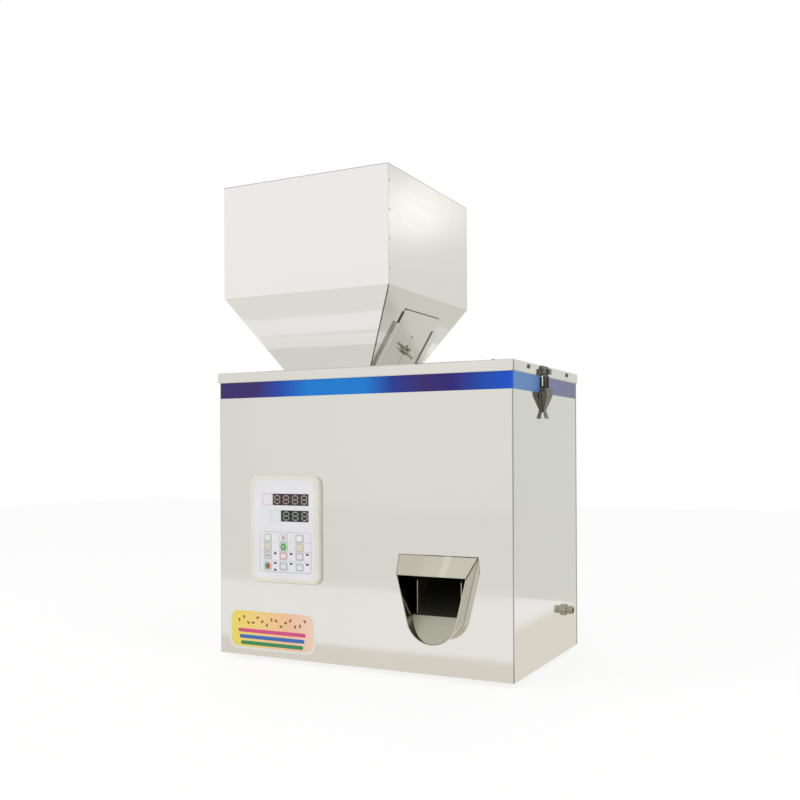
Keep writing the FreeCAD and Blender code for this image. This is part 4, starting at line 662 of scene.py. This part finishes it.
# %% Keys
KEY_LOOKS = {
    "key_1_1": ((0.66, 0.72, 0.65), "disc", (0.80, 0.83, 0.78)),
    "key_1_2": ((0.78, 0.78, 0.79), "ring", (0.45, 0.12, 0.16)),
    "key_1_3": ((0.66, 0.69, 0.65), "disc", (0.86, 0.87, 0.85)),
    "key_2_1": ((0.70, 0.65, 0.56), "bar", (0.80, 0.55, 0.46)),
    "key_2_2": ((0.60, 0.68, 0.60), "button", (0.03, 0.30, 0.04)),
    "key_2_3": ((0.72, 0.67, 0.56), "bar", (0.82, 0.62, 0.46)),
    "key_3_1": ((0.64, 0.64, 0.62), "bar", (0.30, 0.29, 0.27)),
    "key_3_2": ((0.80, 0.76, 0.77), "outline", (0.62, 0.16, 0.20)),
    "key_3_3": ((0.78, 0.76, 0.78), "outline", (0.46, 0.36, 0.44)),
    "key_4_1": ((0.70, 0.72, 0.71), "split", None),
    "key_4_2": ((0.76, 0.79, 0.81), "outline", (0.26, 0.38, 0.44)),
    "key_4_3": ((0.76, 0.78, 0.80), "outline", (0.34, 0.38, 0.40)),
}


def split_ink(name, centre_x):
    finish = Finish(name, Roughness=0.3)
    share = finish.axis("X").below(centre_x, 0.1 * MM)
    finish.set("Base Color", finish.blend(share, (0.60, 0.05, 0.04), (0.05, 0.28, 0.06)))
    return finish


rim_ink = ink("rim_ink", (0.44, 0.46, 0.47))
for name, (pad_colour, symbol, colour) in KEY_LOOKS.items():
    low, high = key_boxes[name]
    wear(frame["nodes"][name], ink(name + "_pad", pad_colour))
    centre = Vector(((low.x + high.x) / 2, low.y, (low.z + high.z) / 2))
    width, height = high.x - low.x, high.z - low.z
    rim = card(centre, width - 0.7 * MM, height - 0.7 * MM, 1.3 * MM, PRINT_THICK, line=0.35 * MM)
    settle(rim, name + "_rim", name, rim_ink)
    if symbol == "disc":
        mark = disc(centre, 3.1 * MM, PRINT_THICK)
    elif symbol == "ring":
        mark = disc(centre, 1.9 * MM, PRINT_THICK, hole=1.0 * MM)
    elif symbol == "bar":
        mark = card(centre, 4.6 * MM, 1.1 * MM, 0.5 * MM, PRINT_THICK)
    elif symbol == "outline":
        mark = card(centre, width - 1.8 * MM, height - 1.8 * MM, 1.0 * MM, PRINT_THICK, line=HAIRLINE)
    else:
        mark = disc(centre, 3.5 * MM, PRINT_THICK * 2)
    mark_ink = split_ink("two_colour_ink", centre.x) if symbol == "split" else ink(name + "_ink", colour)
    settle(mark, name + "_mark", name, mark_ink)
    if symbol == "button":
        spot = disc(centre - Vector((0, 2 * PRINT_THICK, 0)), 1.9 * MM, PRINT_THICK)
        settle(spot, name + "_spot", name, ink("button_light_ink", (0.30, 0.66, 0.26)))
print(len(KEY_LOOKS), "keys have their colours and symbols")

# %% [markdown]
# ## The coloured band under the lid
# A printed vinyl band, 18 mm high, runs along the front and round the right corner.
# Its blue swells and fades along the front; on the side it is painted paler and greyer
# towards the rear, a painted sheen over the blue print. It could be painted by the steel's
# material, but vinyl has a thickness and its own gloss, so it is a thin strip: one upright
# edge is extruded along the front, round the bend and along the side. At the latch it is cut.

# %% Band
latch_low, latch_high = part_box("right_latch_lever")
BAND_H = 18.0 * MM
BAND_TOP = lid_low.z - 0.6 * MM
BAND_THICK = 0.12 * MM
BAND_OUT = BAND_THICK / 2 + 0.02 * MM
CORNER = 2.0 * MM
front_y, right_x = shell_low.y, shell_high.x


def strip(points, low_z, high_z, thick):
    clear_selection()
    bpy.ops.mesh.primitive_plane_add(size=1.0, location=(points[0][0], points[0][1], (low_z + high_z) / 2),
                                     rotation=(math.pi / 2, 0, 0))
    piece = bpy.context.object
    piece.scale = (1e-6, high_z - low_z, 1.0)
    apply_place()
    edit_all()
    bpy.ops.mesh.remove_doubles(threshold=1e-5)
    for start, end in zip(points, points[1:]):
        move = (end[0] - start[0], end[1] - start[1], 0)
        bpy.ops.mesh.extrude_region_move(TRANSFORM_OT_translate={"value": move})
    bpy.ops.object.mode_set(mode="OBJECT")
    solid = piece.modifiers.new("thickness", "SOLIDIFY")
    solid.thickness = thick
    solid.offset = 0.0
    bpy.ops.object.modifier_apply(modifier=solid.name)
    outward(piece)
    return piece


def band_path():
    reach = CORNER + BAND_OUT
    path = [(-right_x + CORNER, front_y - BAND_OUT)]
    for k in range(7):
        a = math.radians(-90 + 15 * k)
        path.append((right_x - CORNER + reach * math.cos(a), front_y + CORNER + reach * math.sin(a)))
    return path + [(right_x + BAND_OUT, latch_low.y + 3 * MM)]


def band_finish():
    finish = Finish("blue_band", Roughness=0.38, Specular_IOR_Level=0.3)
    whole_run = 2 * right_x + shell_high.y - front_y
    along = (finish.axis("X") + finish.axis("Y") + (right_x - front_y)) / whole_run
    violet, deep, bright = (0.03, 0.016, 0.13), (0.005, 0.06, 0.40), (0.002, 0.18, 0.60)
    # From 0.627 on, the stops are the side: a painted sheen, paler and greyer towards the rear.
    stops = (
        (0.0, violet), (0.09, violet), (0.15, deep), (0.21, bright), (0.33, bright),
        (0.39, (0.012, 0.03, 0.27)), (0.45, violet), (0.51, (0.02, 0.01, 0.16)), (0.57, deep),
        (0.62, (0.003, 0.07, 0.55)), (0.627, (0.075, 0.22, 0.50)), (0.76, (0.09, 0.20, 0.46)),
        (0.80, (0.13, 0.15, 0.36)), (1.0, (0.14, 0.155, 0.23)),
    )
    finish.set("Base Color", finish.ramp(along, stops))
    return finish


print("the front stretch follows", len(band_path()), "points")

# %% Both stretches of the band
band_ink = band_finish()
band = strip(band_path(), BAND_TOP - BAND_H, BAND_TOP, BAND_THICK)
settle(band, "front_band", "cabinet", band_ink)
rear_path = [(right_x + BAND_OUT, y) for y in (latch_high.y - 4 * MM, shell_high.y - 1 * MM)]
rear_band = strip(rear_path, BAND_TOP - BAND_H, BAND_TOP, BAND_THICK)
settle(rear_band, "side_band", "cabinet", band_ink)
print("band from z", round((BAND_TOP - BAND_H) / MM, 1), "to", round(BAND_TOP / MM, 1))

# %% [markdown]
# ## The front label
# A plain printed label sits low on the front: a warm ground with a white edge, three
# straight stripes, and a scatter of grains. It could be one card with all of it painted
# on, but every layer is a card on the card below it, so that the print has clean
# edges from close by and the pattern is in the meshes themselves.

# %% Front label
LABEL_CENTRE = Vector((-109.0 * MM, front_y, 35.0 * MM))
LABEL_W, LABEL_H = 115.0 * MM, 46.0 * MM
LAYER = 0.07 * MM


def label_layer(number):
    return Vector((0, -number * LAYER, 0))


edge = card(LABEL_CENTRE, LABEL_W, LABEL_H, 11 * MM, LAYER, segments=10)
settle(edge, "label_edge", "cabinet", ink("label_white", (0.80, 0.80, 0.78)))
ground_finish = Finish("label_ground", Roughness=0.3, Coat_Weight=0.3)
ground_share = (ground_finish.axis("X") - (LABEL_CENTRE.x - LABEL_W / 2)) / LABEL_W
GROUND_STOPS = (
    (0.0, (0.80, 0.66, 0.08)), (0.35, (0.84, 0.60, 0.20)),
    (0.7, (0.85, 0.50, 0.30)), (1.0, (0.82, 0.62, 0.50)),
)
ground_finish.set("Base Color", ground_finish.ramp(ground_share, GROUND_STOPS))
ground = card(LABEL_CENTRE + label_layer(1), LABEL_W - 5 * MM, LABEL_H - 5 * MM, 8.8 * MM, LAYER, segments=10)
settle(ground, "label_ground", "cabinet", ground_finish)
print("label", round(LABEL_W / MM), "x", round(LABEL_H / MM), "mm")

# %% Stripes and grains
STRIPES = (
    ("pink", -2.0, (0.66, 0.07, 0.24)),
    ("blue", -9.0, (0.03, 0.15, 0.50)),
    ("green", -16.0, (0.03, 0.26, 0.10)),
)
for name, rise, colour in STRIPES:
    at = LABEL_CENTRE + label_layer(2) + Vector((0, 0, rise * MM))
    stripe = card(at, (92.0 + 0.5 * rise) * MM, 4.2 * MM, 2.0 * MM, LAYER)
    settle(stripe, "label_stripe_" + name, "cabinet", ink("label_" + name, colour))

grains = []
for k in range(15):
    x = -44.0 + 6.3 * k
    z = 9.5 + 4.0 * math.sin(1.9 * k)
    pivot = LABEL_CENTRE + Vector((x, 0, z)) * MM
    grain = disc(pivot + label_layer(2), 2.1 * MM, LAYER, sides=20)
    pick(grain)
    edit_all()
    bpy.ops.transform.resize(value=(0.62, 1, 1), center_override=pivot)
    bpy.ops.transform.rotate(value=0.5 * k, orient_axis="Y", center_override=pivot)
    bpy.ops.object.mode_set(mode="OBJECT")
    grains.append(grain)
settle(join(grains), "label_grains", "cabinet", ink("label_brown", (0.30, 0.12, 0.04)))
print(len(STRIPES), "stripes and", len(grains), "grains")

# %% [markdown]
# ## Where the screws are
# A node of screws is one mesh with a separate island for each screw. The islands are
# found on a merged copy, and each island's box says where that screw sits. The machine's
# own shape then says which way its head looks: out of the nearest face.


# %% Screw places
def islands(node):
    copy = frame["nodes"][node].data.copy()
    work = bmesh.new()
    work.from_mesh(copy)
    bmesh.ops.remove_doubles(work, verts=work.verts, dist=1e-6)
    left = set(work.verts)
    boxes = []
    while left:
        group, waiting = set(), [left.pop()]
        while waiting:
            vert = waiting.pop()
            group.add(vert)
            near = [e.other_vert(vert) for e in vert.link_edges]
            waiting += [v for v in near if v in left]
            left.difference_update(near)
        low = Vector([min(v.co[i] for v in group) for i in range(3)])
        high = Vector([max(v.co[i] for v in group) for i in range(3)])
        boxes.append((low, high))
    work.free()
    bpy.data.meshes.remove(copy)
    return boxes


def head_way(low, high):
    centre = (low + high) / 2
    if high.z < 15 * MM:
        return Vector((0, 0, -1))
    if high.y > shell_high.y - 1 * MM:
        return Vector((0, 1, 0))
    if abs(centre.x) > right_x - 8 * MM:
        return Vector((math.copysign(1, centre.x), 0, 0))
    return Vector((0, 0, 1))


for node in ("lid_screws", "cabinet_screws", "foot_screws"):
    print(node, len(islands(node)))

# %% [markdown]
# ## Pan head screws
# A pan head is a short cylinder with a rounded top and a cross recess. The cylinder's
# upper edge is bevelled in several steps, and the recess is cut with two crossed bars by
# a boolean modifier. A hexagon nut closes the screw inside. A screw is made once,
# looking along +Z with its seat at the origin, then copied and turned to each place.


# %% Pan head screw
def bevel_where(piece, test, width, steps):
    pick(piece)
    bpy.ops.object.mode_set(mode="EDIT")
    bpy.ops.mesh.select_all(action="DESELECT")
    bpy.ops.mesh.select_mode(type="EDGE")
    work = bmesh.from_edit_mesh(piece.data)
    for line in work.edges:
        line.select = all(test(v.co) for v in line.verts)
    bmesh.update_edit_mesh(piece.data)
    bpy.ops.mesh.bevel(offset=width, segments=steps, affect="EDGES")
    bpy.ops.mesh.select_mode(type="VERT")
    bpy.ops.object.mode_set(mode="OBJECT")


def pan_screw(head_r, head_h, shank_r, grip, nut_r, nut_h):
    clear_selection()
    bpy.ops.mesh.primitive_cylinder_add(vertices=24, radius=head_r, depth=head_h, location=(0, 0, head_h / 2))
    head = bpy.context.object
    apply_place()
    bevel_where(head, lambda at: at.z > head_h * 0.9, head_h * 0.55, 3)
    clear_selection()
    bars = []
    for turn_z in (0, math.pi / 2):
        bpy.ops.mesh.primitive_cube_add(size=1.0, location=(0, 0, head_h), rotation=(0, 0, turn_z))
        bars.append(bpy.context.object)
        bars[-1].scale = (head_r * 1.15, head_r * 0.26, head_h * 1.1)
        apply_place()
    for bar in bars:
        cut = head.modifiers.new("recess", "BOOLEAN")
        cut.operation = "DIFFERENCE"
        cut.object = bar
        pick(head)
        bpy.ops.object.modifier_apply(modifier=cut.name)
    for bar in bars:
        bpy.data.objects.remove(bar)
    clear_selection()
    length = grip + nut_h + 0.8 * MM
    bpy.ops.mesh.primitive_cylinder_add(vertices=16, radius=shank_r, depth=length,
                                        location=(0, 0, -length / 2))
    shank = bpy.context.object
    bevel_where(shank, lambda at: at.z < -(grip + nut_h) / 2, 0.3 * MM, 1)
    clear_selection()
    nut_at = (0, 0, -grip - nut_h / 2)
    bpy.ops.mesh.primitive_cylinder_add(vertices=6, radius=nut_r, depth=nut_h, location=nut_at)
    nut = bpy.context.object
    bevel_where(nut, lambda at: True, 0.2 * MM, 1)
    return join([head, shank, nut])


def placed_copies(model, places):
    copies = []
    for seat, way in places:
        copy = model.copy()
        copy.data = model.data.copy()
        bpy.context.scene.collection.objects.link(copy)
        copy.matrix_world = Matrix.Translation(seat) @ way.to_track_quat("Z", "Y").to_matrix().to_4x4()
        copies.append(copy)
    for copy in copies:
        pick(copy)
        apply_place()
    bpy.data.objects.remove(model)
    return join(copies)


print("screws can be made")

# %% Sets of screws
M3 = {"head_r": 2.4 * MM, "head_h": 1.4 * MM, "shank_r": 1.45 * MM, "nut_r": 3.1 * MM, "nut_h": 2.4 * MM}
M4 = {"head_r": 3.6 * MM, "head_h": 2.2 * MM, "shank_r": 1.95 * MM, "nut_r": 4.0 * MM, "nut_h": 3.2 * MM}


def screw_set(node, name, body, sizes, grip):
    model = pan_screw(grip=grip, **sizes)
    places = []
    for low, high in islands(node):
        way = head_way(low, high)
        centre = (low + high) / 2
        half = Vector([abs(way[i]) * (high - low)[i] / 2 for i in range(3)]).length
        places.append((centre + way * (half - sizes["head_h"]), way))
    made = placed_copies(model, places)
    settle(made, name, body, screw_plate)
    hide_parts(node)
    print(name, len(places))


screw_set("lid_screws", "lid_pan_screws", "lid", M3, 1.2 * MM)
screw_set("cabinet_screws", "cabinet_pan_screws", "cabinet", M3, 2.4 * MM)
screw_set("foot_screws", "foot_pan_screws", "cabinet", M4, 3.7 * MM)

# %% [markdown]
# ## The latch springs
# A draw latch pulls the lid down with two tension springs that share one wire: the
# wire runs up from each coil and over the hook. In the construction model they are bars of the
# coils' outer size. Here a small circle is swept into a helix by a screw modifier,
# and the bail is a circle extruded up, spun round each corner and extruded across.

# %% Coils and bail
WIRE_R = 0.55 * MM
BAIL_WIRE_R = 1.25 * WIRE_R
BAIL_TURN_R = 1.6 * MM
COIL_OUTER = 2.0 * MM
COIL_R = COIL_OUTER - WIRE_R
COIL_TURNS = 15


def close_ends(piece):
    bpy.ops.mesh.select_all(action="SELECT")
    bpy.ops.mesh.fill_holes(sides=12)
    bpy.ops.object.mode_set(mode="OBJECT")
    outward(piece)
    return piece


def coil(centre, low_z, high_z):
    clear_selection()
    bpy.ops.mesh.primitive_circle_add(vertices=8, radius=WIRE_R, location=(COIL_R, 0, 0),
                                      rotation=(math.pi / 2, 0, 0))
    piece = bpy.context.object
    apply_place()
    sweep = piece.modifiers.new("coil", "SCREW")
    sweep.axis = "Z"
    sweep.iterations = COIL_TURNS
    sweep.screw_offset = (high_z - low_z - 2 * WIRE_R) / COIL_TURNS
    sweep.steps = 14
    sweep.render_steps = 14
    bpy.ops.object.modifier_apply(modifier=sweep.name)
    piece.location = (centre.x, centre.y, low_z + WIRE_R)
    apply_place()
    bpy.ops.object.mode_set(mode="EDIT")
    return close_ends(piece)


def bail(centre, half_span, low_z, high_z):
    y0, y1 = centre.y - half_span, centre.y + half_span
    turn_z = high_z - BAIL_TURN_R
    corner = {"steps": 6, "angle": -math.pi / 2, "axis": (1, 0, 0)}
    clear_selection()
    bpy.ops.mesh.primitive_circle_add(vertices=10, radius=BAIL_WIRE_R, location=(centre.x, y0, low_z))
    piece = bpy.context.object
    apply_place()
    edit_all()
    bpy.ops.mesh.extrude_region_move(TRANSFORM_OT_translate={"value": (0, 0, turn_z - low_z)})
    bpy.ops.mesh.spin(center=(centre.x, y0 + BAIL_TURN_R, turn_z), **corner)
    bpy.ops.mesh.extrude_region_move(TRANSFORM_OT_translate={"value": (0, 2 * (half_span - BAIL_TURN_R), 0)})
    bpy.ops.mesh.spin(center=(centre.x, y1 - BAIL_TURN_R, turn_z), **corner)
    bpy.ops.mesh.extrude_region_move(TRANSFORM_OT_translate={"value": (0, 0, low_z - turn_z)})
    return close_ends(piece)


print("coils of", COIL_TURNS, "turns, wire", round(2 * WIRE_R / MM, 1), "mm thick")

# %% Springs on both sides
# The coils start high enough to stay clear of the lever when it is thrown over.
COIL_FROM_LOW, COIL_FROM_HIGH = 2.9 * MM, 4.3 * MM

for side in ("right", "left"):
    low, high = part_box(side + "_latch_springs")
    centre = (low + high) / 2
    half_span = (high.y - low.y) / 2 - COIL_OUTER
    coil_low, coil_high = low.z + COIL_FROM_LOW, high.z - COIL_FROM_HIGH
    wires = [coil(centre + Vector((0, s * half_span, 0)), coil_low, coil_high) for s in (-1, 1)]
    wires.append(bail(centre, half_span, coil_high - 1.0 * MM, high.z - WIRE_R))
    springs = settle(join(wires), side + "_spring_wires", side + "_bail", latch_plate)
    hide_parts(side + "_latch_springs")
    print(side, "springs", len(springs.data.polygons), "faces")

# %% [markdown]
# ## Weld spots on the hopper
# The hopper's sheets are spot welded along their corners, and each spot leaves a small
# dark mark in the steel. A spot is a flattened sphere that is half sunk in the sheet.
# The row follows the corner down the upright part, and on down the slope.

# %% Weld spots
SPOT_R = 0.9 * MM
SPOT_INSET = 3.5 * MM
UNDER_RIM = [(18 + 31 * k) * MM for k in range(4)]
UNDER_KINK = [(8 + 25 * k) * MM for k in range(3)]
spots = []


def weld_spot(at):
    clear_selection()
    bpy.ops.mesh.primitive_uv_sphere_add(segments=12, ring_count=6, radius=SPOT_R, location=at)
    spot = bpy.context.object
    spot.scale = (0.35, 1.0, 1.0)
    apply_place()
    spots.append(spot)


spot_y = hopper_front_y + SPOT_INSET
for drop in UNDER_RIM:
    weld_spot(Vector((HOPPER_RIGHT, spot_y, box_right[1].z - drop)))
for drop in UNDER_KINK:
    weld_spot(Vector((HOPPER_RIGHT - SLOPE_X * drop, spot_y + SLOPE_Y * drop, HOPPER_KINK - drop)))
spot_finish = plated_finish("weld_spot", (0.26, 0.24, 0.20), (0.10, 0.09, 0.08), 0.34)
settle(join(spots), "weld_spots", "lid", spot_finish)
print("weld spots:", len(spots))

# %% [markdown]
# ## The floor and its reflection
# The machine stands on a plain pale floor. Bright steel shows little but what it
# reflects, so the floor is drawn twice. The camera sees it nearly white, with the
# machine's shadow. Reflections see a bright table top whose edges draw a line across the
# cabinet at a quarter of its height, a duller floor beyond it, and a warmer strip close by.

# %% Floor
clear_selection()
bpy.ops.mesh.primitive_plane_add(size=6.0, location=(0, 0, 0))
floor = bpy.context.object
floor.name = "floor"
floor_finish = Finish("pale_floor", Roughness=0.55)
speck = floor_finish.noise(3.0, 2.0)
floor_finish.set("Base Color", floor_finish.blend(speck, (0.86, 0.86, 0.85), (0.90, 0.90, 0.89)))
TABLE_FRONT, TABLE_BACK, WARM_REACH = -659 * MM, 460 * MM, 110 * MM
SHADOW_SHARE = 0.22
across, away = floor_finish.axis("X"), floor_finish.axis("Y")
on_table = away.above(TABLE_FRONT, 3 * MM) * away.below(TABLE_BACK, 3 * MM)
close_by = away.above(shell_low.y - WARM_REACH, 20 * MM)
close_by = close_by * across.below(shell_high.x + WARM_REACH, 20 * MM)
beyond = floor_finish.blend(away.above(0.0, 50 * MM), (0.90, 0.885, 0.86), (0.80, 0.81, 0.765))
mirrored = floor_finish.blend(on_table, beyond, (1.02, 1.01, 1.01))
mirrored = floor_finish.blend(close_by, mirrored, (0.86, 0.825, 0.745))


def light_ray(finish, kind):
    return finish.node("LightPath", {}, {}, kind)


def choose(finish, share, first, second):
    return finish.node("MixShader", {}, {0: share, 1: first, 2: second})


lit = Value(floor_finish, floor_finish.shader.outputs[0])
glow = floor_finish.node("Emission", {}, {"Color": mirrored})
white = floor_finish.node("Emission", {}, {"Color": (1.0, 1.0, 1.0), "Strength": 1.03})
seen = choose(floor_finish, SHADOW_SHARE, white, lit)
surface = choose(floor_finish, light_ray(floor_finish, "Is Glossy Ray"), lit, glow)
surface = choose(floor_finish, light_ray(floor_finish, "Is Camera Ray"), surface, seen)
floor_finish.plug(floor_finish.tree.nodes["Material Output"].inputs["Surface"], surface)
floor.data.materials.append(floor_finish.material)
print("floor ready, table from y", round(TABLE_FRONT / MM), "to", round(TABLE_BACK / MM), "mm")

# %% [markdown]
# ## The room
# The room is the world's light, and it too is drawn apart for each kind of ray: white
# for the camera, an even light on plastic and print, and shades for reflections. The
# front of the room is duller at the far left and brighter high up. The side of the room
# is duller, with one soft bright spot that shows as a cloud on the hopper's right side.


# %% Room
class Room(Finish):
    def __init__(self, name):
        world = bpy.data.worlds.new(name)
        world.use_nodes = True
        bpy.context.scene.world = world
        self.tree = world.node_tree
        self.tree.nodes.clear()
        self.coords = self.node("TexCoord", {}, {}, "Generated")

    def light(self, colour, strength):
        return self.node("Background", {}, {"Color": colour, "Strength": strength})


SPOT_ACROSS, SPOT_RISE, SPOT_SIZE = 0.42, 0.245, 0.0009
EVEN_LIGHT = 0.78


def room_light():
    room = Room("room")
    across, ahead, rise = room.axis("X"), room.axis("Y"), room.axis("Z")
    front = room.blend(across.above(-0.54, 0.08), (0.90, 0.89, 0.865), (0.95, 0.945, 0.915))
    front = room.blend(rise.above(0.12, 0.035), front, (1.035, 1.025, 1.03))
    side = room.blend(rise.above(0.14, 0.10), (0.795, 0.81, 0.765), (0.83, 0.83, 0.785))
    from_spot, over_spot = across - SPOT_ACROSS, rise - SPOT_RISE
    spot = (from_spot * from_spot + over_spot * over_spot).below(SPOT_SIZE, SPOT_SIZE)
    side = room.blend(spot, side, (1.45, 1.45, 1.40))
    mirror = room.light(room.blend(ahead.above(0.0, 0.2), front, side), 1.0)
    surface = choose(room, light_ray(room, "Is Glossy Ray"), room.light((1.0, 1.0, 1.0), EVEN_LIGHT), mirror)
    white = room.light((1.0, 1.0, 1.0), 1.0)
    surface = choose(room, light_ray(room, "Is Transmission Ray"), surface, white)
    surface = choose(room, light_ray(room, "Is Camera Ray"), surface, white)
    output = room.tree.nodes.new("ShaderNodeOutputWorld")
    room.plug(output.inputs["Surface"], surface)


room_light()
print("room ready")

# %% [markdown]
# ## Lamps
# Two large soft lamps give the plastic, the print and the shadow a direction. They are
# left out of reflections, where they would burn white patches into the steel.


# %% Lamps
def soft_lamp(name, at, aim, size, watts):
    clear_selection()
    bpy.ops.object.light_add(type="AREA", location=at)
    lamp = bpy.context.object
    lamp.name = name
    lamp.data.size = size
    lamp.data.energy = watts
    lamp.visible_glossy = False
    lamp.rotation_euler = (Vector(aim) - Vector(at)).to_track_quat("-Z", "Y").to_euler()


soft_lamp("window_left", (-1.3, -1.6, 1.7), (0, 0, 0.25), 1.3, 17.0)
soft_lamp("window_right", (1.7, -0.6, 1.3), (0, 0, 0.3), 1.0, 7.0)
print("two lamps ready")
